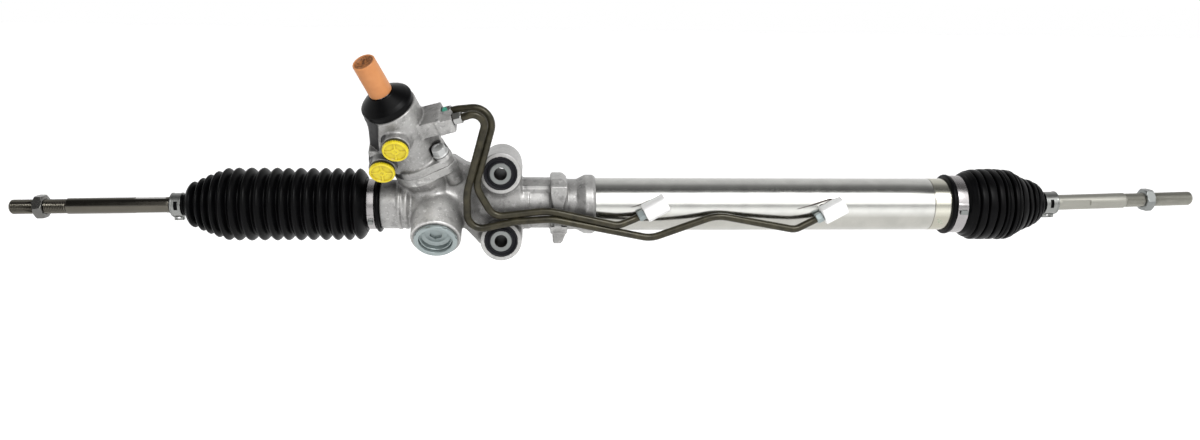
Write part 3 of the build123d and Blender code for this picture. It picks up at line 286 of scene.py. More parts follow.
def rubber(name, base=(0.0011, 0.0011, 0.0013), rough=0.36, spec=0.07):
    m = mat(name, base, 0.0, rough, spec)
    vec = coords(m)
    n = noise(m, vec, 60.0, 4.0)
    f = noise(m, vec, 1100.0, 3.0)
    link(m, math_node(m, "ADD", math_node(m, "MULTIPLY", n, 0.22), rough - 0.11), shader(m).inputs["Roughness"])
    hi = tuple(c * 1.9 for c in base)
    link(m, ramp(m, n, [(0.4, base), (0.8, hi)]), shader(m).inputs["Base Color"])
    link(m, bump(m, f, 0.14, 0.0001), shader(m).inputs["Normal"])
    return m


rub = rubber("bellows_rubber")
rub_cap = rubber("cap_rubber", (0.0013, 0.0013, 0.0015), 0.34, 0.09)
rub_bush = rubber("bush_rubber", (0.006, 0.006, 0.008), 0.5, 0.2)

orange = mat("sleeve_plastic", (0.78, 0.36, 0.12), 0.0, 0.42, 0.4)
orange.node_tree.nodes["Principled BSDF"].inputs["Subsurface Weight"].default_value = 0.0
ov = coords(orange)
link(orange, ramp(orange, noise(orange, ov, 45.0, 3.0), [(0.3, (0.44, 0.165, 0.050)), (0.7, (0.55, 0.235, 0.082))]), shader(orange).inputs["Base Color"])
link(orange, bump(orange, noise(orange, ov, 700.0, 3.0), 0.1, 0.0001), shader(orange).inputs["Normal"])
# painted shade darkens the hollows of the transit sleeve
creases(orange, (0.30, 0.16, 0.10), 0.008, 1.5)

dish = mat("dish_plastic", (0.16, 0.06, 0.02), 0.0, 0.5, 0.3)
dv = coords(dish)
link(dish, ramp(dish, noise(dish, dv, 420.0, 4.0, 0.7), [(0.38, (0.055, 0.022, 0.010)), (0.62, (0.34, 0.13, 0.04))]), shader(dish).inputs["Base Color"])

yellow = mat("plug_plastic", (0.88, 0.68, 0.004), 0.0, 0.36, 0.5)
yv = coords(yellow)
link(yellow, ramp(yellow, noise(yellow, yv, 160.0, 3.0), [(0.3, (0.56, 0.44, 0.003)), (0.7, (0.68, 0.56, 0.005))]), shader(yellow).inputs["Base Color"])
link(yellow, bump(yellow, noise(yellow, yv, 800.0, 2.0), 0.08, 0.0001), shader(yellow).inputs["Normal"])
# painted shade darkens the slots and hollows of the plugs
creases(yellow, (0.34, 0.22, 0.05), 0.003, 1.5)

# painted shade: near-black olive for the plug side wall and stem, where shade falls under the rim
plug_side_shade = mat("plug_side_painted_shade", (0.055, 0.048, 0.008), 0.0, 0.5, 0.3)
link(plug_side_shade, bump(plug_side_shade, noise(plug_side_shade, coords(plug_side_shade), 700.0, 2.0), 0.1, 0.0001), shader(plug_side_shade).inputs["Normal"])

natural = mat("seal_plastic", (0.72, 0.71, 0.66), 0.0, 0.45)
link(natural, bump(natural, noise(natural, coords(natural), 600.0, 2.0), 0.08, 0.0001), shader(natural).inputs["Normal"])

GREEN = (0.02, 0.30, 0.20)


def with_spots(base, name, spots, colour=GREEN, fade=0.9):
    """Copy of a material with uneven paint daubs."""
    m = base.copy()
    m.name = name
    b = shader(m)
    src = b.inputs["Base Color"].links[0].from_socket if b.inputs["Base Color"].links else None
    cur = src if src is not None else tuple(b.inputs["Base Color"].default_value[:3])
    total = None
    for c, r, w in spots:
        k = spot(m, c, r, w)
        total = k if total is None else math_node(m, "MAXIMUM", total, k)
    total = math_node(m, "MULTIPLY", total, fade)
    link(m, mix(m, total, cur, colour), b.inputs["Base Color"])
    metal = b.inputs["Metallic"].default_value
    link(m, math_node(m, "MULTIPLY", math_node(m, "SUBTRACT", 1.0, total), metal), b.inputs["Metallic"])
    return m


# copy of the cast aluminium that carries painted shade on its left and lower sides
alu_valve_painted_shade = alu.copy()
alu_valve_painted_shade.name = "cast_aluminium_valve_painted_shade"


def paint_side_shade(m, vec, lo, hi, amount, tint):
    """Painted shade: multiplies the base colour by tint where the normal leans along vec."""
    g_ = node(m, "ShaderNodeNewGeometry")
    d_ = node(m, "ShaderNodeVectorMath", operation="DOT_PRODUCT")
    link(m, g_.outputs["Normal"], d_.inputs[0])
    d_.inputs[1].default_value = tuple(float(c) for c in unit(vec))
    k_ = math_node(m, "DIVIDE", math_node(m, "SUBTRACT", d_.outputs["Value"], lo), hi - lo, True)
    sock = shader(m).inputs["Base Color"]
    x_ = node(m, "ShaderNodeMix", data_type="RGBA", blend_type="MULTIPLY")
    link(m, math_node(m, "MULTIPLY", k_, amount), x_.inputs[0])
    link(m, sock.links[0].from_socket, x_.inputs[6])
    x_.inputs[7].default_value = tuple(tint) + (1,)
    link(m, x_.outputs[2], sock)


# painted shade on the sides of the valve casting that face left and down
paint_side_shade(alu_valve_painted_shade, (-1.0, 0.05, -0.2), 0.42, 0.58, 1.0, (0.09, 0.09, 0.095))


def paint_light_near(m, centre_mm, near, far, amount, tint):
    """Painted light round a point of the casting: multiplies the base colour by tint, in full within near and fading
    out at far.
    """
    g_ = node(m, "ShaderNodeNewGeometry")
    d_ = node(m, "ShaderNodeVectorMath", operation="DISTANCE")
    link(m, g_.outputs["Position"], d_.inputs[0])
    d_.inputs[1].default_value = tuple(float(c) * 0.001 for c in centre_mm)
    k_ = math_node(m, "DIVIDE", math_node(m, "SUBTRACT", far * 0.001, d_.outputs["Value"]), (far - near) * 0.001, True)
    sock = shader(m).inputs["Base Color"]
    x_ = node(m, "ShaderNodeMix", data_type="RGBA", blend_type="MULTIPLY")
    link(m, math_node(m, "MULTIPLY", k_, amount), x_.inputs[0])
    link(m, sock.links[0].from_socket, x_.inputs[6])
    x_.inputs[7].default_value = tuple(tint) + (1,)
    link(m, x_.outputs[2], sock)


# painted light: a brighter patch on the gear casting round the front of the yoke tower
paint_light_near(alu, (-64.0, -50.0, -4.0), 22.0, 44.0, 1.0, (1.55, 1.55, 1.55))

# ---------------------------------------------------------------------------
# Mesh helpers
# ---------------------------------------------------------------------------
def put(name, verts, faces, body, material, replaces=(), angle=38.0, attr=None):
    me = bpy.data.meshes.new(name)
    V = (np.asarray(verts, float) * MM).astype(np.float32)
    if isinstance(faces, np.ndarray):
        F = faces.astype(np.int32)
        me.vertices.add(len(V))
        me.vertices.foreach_set("co", V.ravel())
        me.loops.add(F.size)
        me.loops.foreach_set("vertex_index", F.ravel())
        me.polygons.add(len(F))
        me.polygons.foreach_set("loop_start", np.arange(0, F.size, F.shape[1], dtype=np.int32))
        me.update(calc_edges=True)
    else:
        me.from_pydata(V.tolist(), [], faces)
    me.polygons.foreach_set("use_smooth", np.ones(len(me.polygons), bool))
    if angle is not None:
        me.set_sharp_from_angle(angle=math.radians(angle))
    if attr is not None:
        a = me.attributes.new("machined", "FLOAT", "POINT")
        a.data.foreach_set("value", np.asarray(attr, np.float32))
    me.materials.append(material)
    ob = bpy.data.objects.new(name, me)
    bpy.context.scene.collection.objects.link(ob)
    if body:
        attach(ob, body)
    if replaces:
        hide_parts(*replaces)
    return ob


def basis(axis):
    x = unit(axis)
    h = ZA if abs(x[2]) < 0.9 else XA
    y = unit(h - (h @ x) * x)
    return x, y, np.cross(x, y)


def lathe(origin, axis, prof, seg=128, rfun=None, closed=True, shift=None):
    """Ring mesh from (x, r) points; r = 0 points become poles."""
    x, y, z = basis(axis)
    th = np.linspace(0, 2 * math.pi, seg, endpoint=False)
    c, s = np.cos(th), np.sin(th)
    verts, rings = [], []
    for px, pr in prof:
        o = np.asarray(origin, float) + px * x
        if shift is not None:
            o = o + shift(px)
        if pr <= 1e-6:
            rings.append([len(verts)])
            verts.append(o)
            continue
        r = np.full(seg, pr) if rfun is None else rfun(px, pr, th)
        ring = o[None] + (r * c)[:, None] * y + (r * s)[:, None] * z
        rings.append(list(range(len(verts), len(verts) + seg)))
        verts.extend(ring)
    faces = []
    pairs = list(zip(rings, rings[1:]))
    if closed:
        pairs.append((rings[-1], rings[0]))
    for a, b in pairs:
        if len(a) == 1 and len(b) == 1:
            continue
        for i in range(seg):
            j = (i + 1) % seg
            if len(a) == 1:
                faces.append((a[0], b[j], b[i]))
            elif len(b) == 1:
                faces.append((a[i], a[j], b[0]))
            else:
                faces.append((a[i], a[j], b[j], b[i]))
    return np.array(verts), faces


def soft(pts, r=0.4, n=3, closed=True):
    """Rounds the corners of a profile."""
    P = [np.array(p, float) for p in pts]
    out = []
    for i, p in enumerate(P):
        if (not closed and i in (0, len(P) - 1)) or p[1] <= 1e-6:
            out.append(tuple(p))
            continue
        a, b = P[i - 1] - p, P[(i + 1) % len(P)] - p
        la, lb = np.linalg.norm(a), np.linalg.norm(b)
        if la < 1e-6 or lb < 1e-6:
            out.append(tuple(p))
            continue
        ca = float(np.clip(a @ b / la / lb, -1, 1))
        ang = math.acos(ca)
        if ang > math.radians(172):
            out.append(tuple(p))
            continue
        t = min(r / math.tan(ang / 2), 0.45 * la, 0.45 * lb)
        p1, p2 = p + a / la * t, p + b / lb * t
        for k in range(n + 1):
            u = k / n
            q = (1 - u) ** 2 * p1 + 2 * u * (1 - u) * p + u * u * p2
            out.append((q[0], max(q[1], 0.0)))
    return out


# ---------------------------------------------------------------------------
# Distance-field modelling for castings and small fittings
# ---------------------------------------------------------------------------
def smin(a, b, k):
    if k <= 0:
        return np.minimum(a, b)
    h = np.maximum(k - np.abs(a - b), 0) / k
    return np.minimum(a, b) - h * h * k * 0.25


def poly_d(x, y, pts):
    d = np.full(x.shape, 1e9, x.dtype)
    s = np.ones(x.shape, x.dtype)
    n = len(pts)
    for i in range(n):
        (ax, ay), (bx, by) = pts[i], pts[i - 1]
        ex, ey = bx - ax, by - ay
        L = ex * ex + ey * ey
        if L < 1e-12:
            continue
        wx, wy = x - ax, y - ay
        t = np.clip((wx * ex + wy * ey) / L, 0, 1)
        qx, qy = wx - ex * t, wy - ey * t
        d = np.minimum(d, qx * qx + qy * qy)
        c1, c2, c3 = y >= ay, y < by, ex * wy > ey * wx
        s = np.where((c1 & c2 & c3) | (~c1 & ~c2 & ~c3), -s, s)
    return s * np.sqrt(d)


def cyl(a, b, r, rd=0.0):
    a, b = np.asarray(a, float), np.asarray(b, float)
    L = np.linalg.norm(b - a)
    u = (b - a) / L

    def f(P):
        q = P - a
        x = q @ u
        y = np.sqrt(np.maximum((q * q).sum(-1) - x * x, 0))
        dx, dy = np.abs(x - L / 2) - L / 2 + rd, y - r + rd
        return np.minimum(np.maximum(dx, dy), 0) + np.hypot(np.maximum(dx, 0), np.maximum(dy, 0)) - rd
    return f, np.minimum(a, b) - r, np.maximum(a, b) + r


def rev(o, axis, pts):
    """Solid of revolution; points (x, r), with r = 0 where the profile meets the axis."""
    o, u = np.asarray(o, float), unit(axis)
    P2 = [(x, r if r > 1e-6 else -60.0) for x, r in pts]
    rm = max(r for _, r in pts)
    x0, x1 = min(x for x, _ in pts), max(x for x, _ in pts)
    ends = np.array([o + x0 * u, o + x1 * u])

    def f(P):
        q = P - o
        x = q @ u
        y = np.sqrt(np.maximum((q * q).sum(-1) - x * x, 0))
        return poly_d(x, y, P2)
    return f, ends.min(0) - rm, ends.max(0) + rm


def prism(o, ex, ey, pts, h0, h1, rd=0.0):
    """Extruded polygon in the plane of ex, ey, from h0 to h1 along ex x ey."""
    o, ex, ey = np.asarray(o, float), unit(ex), unit(ey)
    ez = np.cross(ex, ey)
    corners = np.array([o + a * ex + b * ey + h * ez for a, b in pts for h in (h0, h1)])

    def f(P):
        q = P - o
        d2 = poly_d(q @ ex, q @ ey, pts) + rd
        w = np.abs(q @ ez - (h0 + h1) / 2) - (h1 - h0) / 2 + rd
        return np.minimum(np.maximum(d2, w), 0) + np.hypot(np.maximum(d2, 0), np.maximum(w, 0)) - rd
    return f, corners.min(0), corners.max(0)


def hull(circles, n=40):
    """Convex outline round circles (x, y, r)."""
    pts = []
    for cx, cy, r in circles:
        for k in range(n):
            a = 2 * math.pi * k / n
            pts.append((cx + r * math.cos(a), cy + r * math.sin(a)))
    pts = sorted(set(pts))

    def half(ps):
        out = []
        for p in ps:
            while len(out) > 1 and (out[-1][0] - out[-2][0]) * (p[1] - out[-2][1]) - (out[-1][1] - out[-2][1]) * (p[0] - out[-2][0]) <= 0:
                out.pop()
            out.append(p)
        return out[:-1]
    return half(pts) + half(pts[::-1])


def rect(w, h, cx=0.0, cy=0.0):
    return [(cx - w / 2, cy - h / 2), (cx + w / 2, cy - h / 2), (cx + w / 2, cy + h / 2), (cx - w / 2, cy + h / 2)]


def ngon(r, n=6, a0=0.0):
    return [(r * math.cos(a0 + 2 * math.pi * k / n), r * math.sin(a0 + 2 * math.pi * k / n)) for k in range(n)]


class Field:
    def __init__(self, h):
        self.h, self.ops = h, []

    def add(self, shape, k=0.0):
        self.ops.append(("add", *shape, k, False))
        return self

    def cut(self, shape, k=0.0, mach=True):
        self.ops.append(("cut", *shape, k, mach))
        return self

    def value(self, P):
        d = np.full(len(P), 1e3)
        for kind, f, lo, hi, k, _ in self.ops:
            m = k + 3 * self.h
            inside = np.all((P > lo - m) & (P < hi + m), axis=1)
            if not inside.any():
                continue
            e = f(P[inside])
            d[inside] = smin(d[inside], e, k) if kind == "add" else -smin(-d[inside], e, k)
        return d

    def build(self):
        h = self.h
        adds = [o for o in self.ops if o[0] == "add"]
        lo = np.min([o[2] for o in adds], axis=0) - 4 * h
        hi = np.max([o[3] for o in adds], axis=0) + 4 * h
        n = np.ceil((hi - lo) / h).astype(int) + 1
        ax = [lo[i] + h * np.arange(n[i]) for i in range(3)]
        G = np.full(n, 1e3, np.float32)
        for kind, f, a, b, k, _ in self.ops:
            m = k + 3 * h
            i0 = np.clip(np.floor((a - m - lo) / h).astype(int), 0, n)
            i1 = np.clip(np.ceil((b + m - lo) / h).astype(int) + 1, 0, n)
            if np.any(i1 <= i0):
                continue
            sl = tuple(slice(p, q) for p, q in zip(i0, i1))
            X, Y, Z = np.meshgrid(ax[0][sl[0]], ax[1][sl[1]], ax[2][sl[2]], indexing="ij")
            P = np.stack([X, Y, Z], -1).reshape(-1, 3)
            e = f(P).reshape(X.shape)
            g = G[sl]
            G[sl] = smin(g, e, k) if kind == "add" else -smin(-g, e, k)
        np.clip(G, -4 * h, 4 * h, out=G)
        grid = openvdb.FloatGrid(background=4 * h)
        grid.copyFromArray(G, tolerance=0.0)
        pts, quads = grid.convertToQuads(isovalue=0.0)
        V = np.asarray(pts, float) * h + lo
        F = np.asarray(quads, np.int64)
        e = 0.12 * h
        T = np.array([[1, -1, -1], [-1, -1, 1], [-1, 1, -1], [1, 1, 1]], float)
        for _ in range(3):
            g = np.zeros_like(V)
            s = np.zeros(len(V))
            for t in T:
                w = self.value(V + e * t)
                g += w[:, None] * t
                s += w / 4
            g /= 4 * e
            L = np.maximum((g * g).sum(1), 0.05)
            step = g * (s / L)[:, None]
            k = np.linalg.norm(step, axis=1)
            step *= np.minimum(1.0, 0.45 * h / np.maximum(k, 1e-9))[:, None]
            V = V - step
        mach = np.zeros(len(V))
        for kind, f, a, b, k, flag in self.ops:
            if kind == "cut" and flag:
                inside = np.all((V > a - 1) & (V < b + 1), axis=1)
                if inside.any():
                    d = np.abs(f(V[inside]))
                    mach[inside] = np.maximum(mach[inside], (d < 0.12).astype(float))
        return V, F[:, ::-1], mach


# ---------------------------------------------------------------------------
# Gear housing casting
# ---------------------------------------------------------------------------
FLO, FHI = 40.0, 50.0
BS, BF = 27.0, 12.0
YF = 46.5

gh = Field(0.8)
gh.add(rev(at(0, 0, 0), XA, [
    (-128, 0), (-128, 20.7), (-127.2, 21.5), (-117, 21.5), (-117, 23.2), (-116.2, 24),
    (-100.5, 24), (-100, 24.7), (-97.5, 24.7), (-96.5, 23.8), (-94, 23.8), (-93.5, 24.5),
    (-91, 24.5), (-87, 21.0), (-78, 20.5), (-40, 20.5), (-28, 22.5), (-20, 24.5),
    (27.5, 24.5), (28.0, 23.6), (47.0, 23.6), (48.0, 25.2), (73.6, 25.2), (74.8, 25.6), (82.0, 29.4), (89.4, 29.4), (92.2, 27.5), (92.2, 0)]))
gh.add(prism(at(0, 0, 0), YA, ZA, [(-18.8, 8), (-18.8, 18.6), (-16.5, 22.0), (-6, 26.1), (6, 26.1), (16.5, 22.0),
                                   (18.8, 18.6), (18.8, 8)], -20, 50, 0.6), 1.0)
gh.add(rev(RP, N, [(-4, 0), (-4, 25.0), (20, 24.8), (YF - 1.2, 24.1), (YF, 23.2), (YF, 0)]), 7.0)
gh.add(rev(P0, D, [(-43, 0), (-43, 14.5), (-41.5, 16), (-14, 16), (-4, 22), (14, 23.5), (30, 25.5), (FLO, 28.3),
                   (FHI - 0.3, 28.3), (FHI, 28.0), (FHI, 0)]), 7.0)
gh.add(prism(tower(0, 0, 0), M, -N, hull([(0, 0, 28.2), (BS, -BF, 9.3), (-BS, BF, 9.3)]), FLO + 0.5, FHI, 0.8), 2.0)
for s in (1, -1):
    gh.add(cyl(tower(23, s * BS, s * BF), tower(FLO + 4, s * BS, s * BF), 7.6, 1.5), 2.5)
for s in (1, -1):
    gh.add(cyl((0, -30, 33 * s), (0, 30, 33 * s), 20.0, 0.9), 3.5)
gh.add(prism((0, 0, 0), XA, ZA, [(-19, -33), (-19, 33), (19, 33), (19, -33)], -17, 21, 1.0), 4.0)
gh.add(prism((0, 0, 0), XA, ZA, [(-50, 47), (-45, 47), (-34, 40), (-16, 34), (-16, 0), (-50, 0)], -3, 17, 1.0), 5.0)
gh.add(prism((0, 0, 0), XA, ZA, [(-44, -14), (-22, -38), (-8, -38), (-8, 0), (-44, 0)], -14, 17, 1.0), 5.0)
gh.add(prism(at(0, 0, 0), YA, ZA, [(-29, -16), (-29, 22.5), (-22, 29.4), (16, 29.4), (26, 21), (28, 4), (24, -14), (12, -27),
                                   (-14, -27)], 48.0, 64.2, 1.2), 1.4)
# sloped shoulders, and a front face that narrows downwards
gh.cut(prism(at(0, 0, 0), XA, ZA, [(59.2, 30.0), (64.0, 25.4), (72, 25.4), (72, 42), (59.2, 42)], -40, 40, 0.4), 1.2, False)
gh.cut(prism(at(0, 0, 0), XA, ZA, [(49.6, 42), (42, 42), (42, 26.4), (47.6, 26.4), (49.6, 30.0)], -40, 40, 0.4), 1.0, False)
gh.cut(prism(at(0, 0, 0), XA, ZA, [(64.6, 17.0), (62.0, 8.0), (58.6, -4.0), (58.6, -17.0), (72, -17.0), (72, 17.0)], 25.3, 34, 0.4), 1.4, False)
gh.cut(prism(at(0, 0, 0), XA, ZA, [(47.0, 20.0), (44, 20.0), (44, -17.0), (51.4, -17.0), (51.4, -2.0)], 25.3, 34, 0.4), 1.2, False)
gh.add(prism(at(0, 0, 0), XA, ZA, [(50, -20), (64, -20), (64, -25), (60, -35), (58, -37), (52, -37), (50.5, -35.5)],
             -13, 15, 1.4), 1.6)
gh.cut(rev(at(0, 0, 0), XA, [(-135, 0), (-135, 14.2), (81.9, 14.2), (81.9, 26.22), (95, 26.22), (95, 0)]))
gh.cut(rev(RP, N, [(0, 0), (0, 15.05), (29, 15.05), (29, 16.03), (45.3, 16.03), (46.8, 17.4), (47, 0)]))
gh.cut(rev(P0, D, [(-44, 0), (-44, 12.02), (-35, 12.02), (-35, 11.02), (-17, 11.02), (-16, 9.3), (16.4, 9.3), (18.8, 13),
                   (20.9, 13), (20.9, 16.02), (34, 16.02), (34.5, 18.02), (51, 18.02), (51, 0)]))
for s in (1, -1):
    gh.cut(cyl((0, -31, 33 * s), (0, 31, 33 * s), 16.0))
    gh.cut(cyl(tower(28, s * BS, s * BF), tower(52, s * BS, s * BF), 4.02))
V, F, mk = gh.build()
mk[(np.abs(V[:, 1]) > 29.9) & (np.abs(V[:, 0]) < 21)] = 0.25
put("gear_casting", V, F, "housing", alu, ["gear_housing"], 40.0, mk)
print("gear casting", len(V))

# ---------------------------------------------------------------------------
# Valve housing casting
# ---------------------------------------------------------------------------
S1, H1, S2, H2, PF = -0.6, 96.0, -23.3, 75.0, 32.0
vh = Field(0.7)
vh.add(rev(P0, D, [(FHI + 0.05, 0), (FHI + 0.05, 28.2), (56.6, 28.2), (57.6, 27.2), (60, 25.2), (64, 24.5), (88, 24.5),
                   (92, 25.1), (118.4, 25.1), (119.5, 23.8), (119.5, 21.4), (123.3, 21.4), (123.3, 0)]))
vh.add(prism(tower(0, 0, 0), M, -N, hull([(0, 0, 28.2), (BS, -BF, 9.3), (-BS, BF, 9.3)]), FHI + 0.05, 58.0, 0.8), 1.5)
for s in (1, -1):
    vh.add(cyl(tower(56, s * BS, s * BF), tower(60.5, s * BS, s * BF), 8.4, 0.8), 2.5)
web = hull([(S1, H1, 13.2), (S2, H2, 13.2), (-14, 108, 9.8), (-18, 66, 7.8)])
vh.add(prism(P0, M, D, web, -8, 23, 1.2), 3.0)
W_ = -0.933 * M + 0.359 * D
vh.cut(prism(tower(108, -23.8, 0), W_, N, [(-11.0, 24.5), (1.8, 10.5), (9, 10.5), (9, 32), (-11.0, 32)], -17.5, 16, 0.6), 1.6, False)
for s_, h_ in ((S1, H1), (S2, H2)):
    vh.add(cyl(tower(h_, s_, 8), tower(h_, s_, PF), 12.7, 0.8), 2.5)
vh.add(prism(tower(92, 14, 0), D, N, rect(16.2, 26.8, 0, 1), 0, 27.9, 1.2), 2.0)
vh.add(prism(tower(92.6, 36, 8), D, N, rect(15.6, 14.6, -1.5, 0), 0, 16.9, 2.2), 2.0)
vh.add(prism(tower(60, 0, -4), M, D, [(18, 0), (29, 0), (29, 6), (33, 27), (18, 27)], 0, 10, 1.2), 3.0)
vh.cut(rev(P0, D, [(49, 0), (49, 18.02), (120.4, 18.02), (120.4, 19.05), (121.9, 19.05), (121.9, 18.3), (124, 18.3), (124, 0)]))
for s_, h_ in ((S1, H1), (S2, H2)):
    vh.cut(cyl(tower(h_, s_, 20), tower(h_, s_, 40), 8.1))
vh.cut(cyl(tower(92, 34, -6), tower(92, 46, -6), 5.02))
vh.cut(cyl(tower(92.6, 45, 8), tower(92.6, 57, 8), 5.02))
for s in (1, -1):
    vh.cut(cyl(tower(48, s * BS, s * BF), tower(62, s * BS, s * BF), 4.4))
    vh.cut(cyl(tower(60.5, s * BS, s * BF), tower(71.0, s * BS, s * BF), 8.2, 0.8), 1.0, False)
V, F, mk = vh.build()
put("valve_casting", V, F, "housing", alu_valve_painted_shade, ["valve_housing"], 40.0, mk)
print("valve casting", len(V))

# ---------------------------------------------------------------------------
# Tube and port bosses
# ---------------------------------------------------------------------------
AX = at(0, 0, 0)
tr = 26.2
tube_m = with_spots(tube_steel, "tube_steel_marked", [(at(438.3, -22.6, -13.0), 2.6, 0.6), (at(441.0, -21.0, -15.5), 1.7, 0.6), (at(436.4, -23.8, -10.8), 1.4, 0.6)],
                    (0.10, 0.42, 0.28), 0.55)
prof = soft([(82, 22), (82, tr - 0.5), (82.5, tr), (431.0, tr), (431.3, tr - 0.4), (431.9, tr - 0.4), (432.2, tr),
             (466, tr), (466, 25.0), (471.5, 25.0), (472, 24.4), (472, 22)], 0.15, 2)
tcx = node(tube_m, "ShaderNodeTexCoord")
sx = node(tube_m, "ShaderNodeSeparateXYZ")
link(tube_m, tcx.outputs["Object"], sx.inputs[0])
wav = math_node(tube_m, "MULTIPLY", math_node(tube_m, "SUBTRACT", noise(tube_m, tcx.outputs["Object"], 180.0, 3.0), 0.5), 0.0016)
px_ = math_node(tube_m, "ADD", sx.outputs["X"], wav)
near = math_node(tube_m, "SUBTRACT", 1.0, math_node(tube_m, "DIVIDE", math_node(tube_m, "ABSOLUTE", math_node(tube_m, "SUBTRACT", sx.outputs["X"], 0.4316)), 0.0008), True)
tint = math_node(tube_m, "DIVIDE", math_node(tube_m, "SUBTRACT", px_, 0.4318), 0.0005, True)
old = shader(tube_m).inputs["Base Color"].links[0].from_socket
c1 = mix(tube_m, math_node(tube_m, "MULTIPLY", tint, 0.75), old, (0.60, 0.585, 0.49))
c2 = mix(tube_m, math_node(tube_m, "MULTIPLY", near, 0.8), c1, (0.16, 0.14, 0.10))
link(tube_m, c2, shader(tube_m).inputs["Base Color"])
# painted shade on the underside of the tube, darker where the normal points down
paint_side_shade(tube_m, (0.0, -0.35, -1.0), 0.40, 0.62, 1.0, (0.66, 0.65, 0.63))
# long plain stretches get more rings
dense = []
for a, b in zip(prof, prof[1:] + prof[:1]):
    dense.append(a)
    k = int(abs(b[0] - a[0]) // 30)
    dense += [(a[0] + (b[0] - a[0]) * i / (k + 1), a[1] + (b[1] - a[1]) * i / (k + 1)) for i in range(1, k + 1)]
V, F = lathe(AX, XA, dense, 192)
put("tube_shell", V, F, "housing", tube_m, ["cylinder_tube"])

PD = unit((-0.875, 0.0, -0.484))
PU = np.array([PD[2], 0.0, -PD[0]])
port_faces = []
for name, base in (("left", at(149.6, -31.0, 2.7)), ("right", at(325.5, -31.0, 0.4))):
    face = base + 11.5 * PD
    port_faces.append(face)
    far = face - 24.0 * PD
    f = Field(0.45)
    f.add(cyl(face, far, 9.6, 1.3))
    x0 = base[0]
    saddle = cyl(at(x0 - 22, 0, 0), at(x0 + 22, 0, 0), tr + 0.9)
    # brazed foot: a thin collar that hugs the tube round the boss
    f.cut(cyl(at(x0 - 40, 0, 0), at(x0 + 40, 0, 0), tr + 0.012), 0.0, False)
    f.cut(cyl(face + 1 * PD, face - 9 * PD, 4.72), 0.0, True)
    V, F, mk = f.build()
    put("port_boss_" + name + "_body", V, F, "housing", boss_white, ["port_boss_" + name], 40.0)
    f = Field(0.35)
    f.add(cyl(face - 2.5 * PD, far, 10.5))
    f.cut(cyl(at(x0 - 40, 0, 0), at(x0 + 40, 0, 0), tr + 0.012), 0.0, False)
    f.cut(rev(at(x0 - 45, 0, 0), XA, [(0, tr + 0.9), (0, 75), (90, 75), (90, tr + 0.9)]), 0.0, False)
    f.cut(cyl(face + 1 * PD, far - 2 * PD, 9.5), 0.0, False)
    V, F, mk = f.build()
    put("port_braze_" + name, V, F, "housing", braze_and_painted_reflection, [], 40.0)

# ---------------------------------------------------------------------------
# Pipes
# ---------------------------------------------------------------------------
def fillet_path(pts, radii, step=math.radians(5)):
    P = [np.asarray(p, float) for p in pts]
    out = [P[0]]
    for i in range(1, len(P) - 1):
        a, b = unit(P[i - 1] - P[i]), unit(P[i + 1] - P[i])
        ang = math.acos(float(np.clip(a @ b, -1, 1)))
        turn = math.pi - ang
        if turn < 1e-3:
            continue
        R = radii[i - 1]
        t = R * math.tan(turn / 2)
        p1, p2 = P[i] + a * t, P[i] + b * t
        c = P[i] + unit(a + b) * (R / math.cos(turn / 2))
        n = max(3, int(turn / step))
        v1 = p1 - c
        w = np.cross(-a, b)
        w = unit(w)
        for k in range(n + 1):
            th = turn * k / n
            out.append(c + v1 * math.cos(th) + np.cross(w, v1) * math.sin(th))
    out.append(P[-1])
    return out


def tube_mesh(path, r, seg=28, cap=True):
    P = [path[0]]
    for p in path[1:]:
        if np.linalg.norm(p - P[-1]) > 1e-4:
            P.append(p)
    full = [P[0]]
    for a, b in zip(P, P[1:]):
        k = max(1, int(np.linalg.norm(b - a) // 8))
        full += [a + (b - a) * i / k for i in range(1, k + 1)]
    P = np.array(full)
    T = np.zeros_like(P)
    T[1:-1] = P[2:] - P[:-2]
    T[0], T[-1] = P[1] - P[0], P[-1] - P[-2]
    T /= np.linalg.norm(T, axis=1)[:, None]
    nrm = unit(np.cross(T[0], ZA if abs(T[0][2]) < 0.9 else XA))
    th = np.linspace(0, 2 * math.pi, seg, endpoint=False)
    V, F = [], []
    for i, p in enumerate(P):
        nrm = unit(nrm - (nrm @ T[i]) * T[i])
        bi = np.cross(T[i], nrm)
        V.extend(p + r * (np.cos(th)[:, None] * nrm + np.sin(th)[:, None] * bi))
    for i in range(len(P) - 1):
        for k in range(seg):
            a, b = i * seg + k, i * seg + (k + 1) % seg
            F.append((a, b, b + seg, a + seg))
    if cap:
        F.append(tuple(range(seg))[::-1])
        F.append(tuple((len(P) - 1) * seg + k for k in range(seg)))
    return np.array(V), F


pl, pr_ = port_faces
short_route = [tower(92, 36, -6), tower(92, 55, -6), at(-1.5, -47.5, 102.9), at(-23.4, -36.5, 24.8),
               at(-6.8, -35.5, -5.1), at(45.3, -35.8, 1.2), at(113.0, -36.9, -13.5), pl + 11 * PD, pl - 6 * PD]
long_route = [tower(92.6, 47, 8), tower(92.6, 64, 8), at(-8.6, -57.0, 101.6), at(-31.7, -37.5, 18.7),
              at(-31.6, -36.4, -19.3), at(13.7, -36.6, -9.4), at(49.2, -36.2, -7.1), at(145.8, -33.2, -27.1),
              at(210.3, -31.5, -4.5), at(288.3, -33.0, -18.7), pr_ + 11 * PD, pr_ - 6 * PD]
V, F = tube_mesh(fillet_path(short_route, [30.0, 16.0, 22.0, 15.0, 60.0, 16.0, 12.0]), 3.6)
put("pipe_short", V, F, "housing", pipe_mat, ["pressure_pipe_short"])
V, F = tube_mesh(fillet_path(long_route, [20.0, 10.4, 40.0, 14.0, 50.0, 60.0, 30.0, 40.0, 15.0, 12.0]), 3.6)
put("pipe_long", V, F, "housing", pipe_mat, ["pressure_pipe_long"])
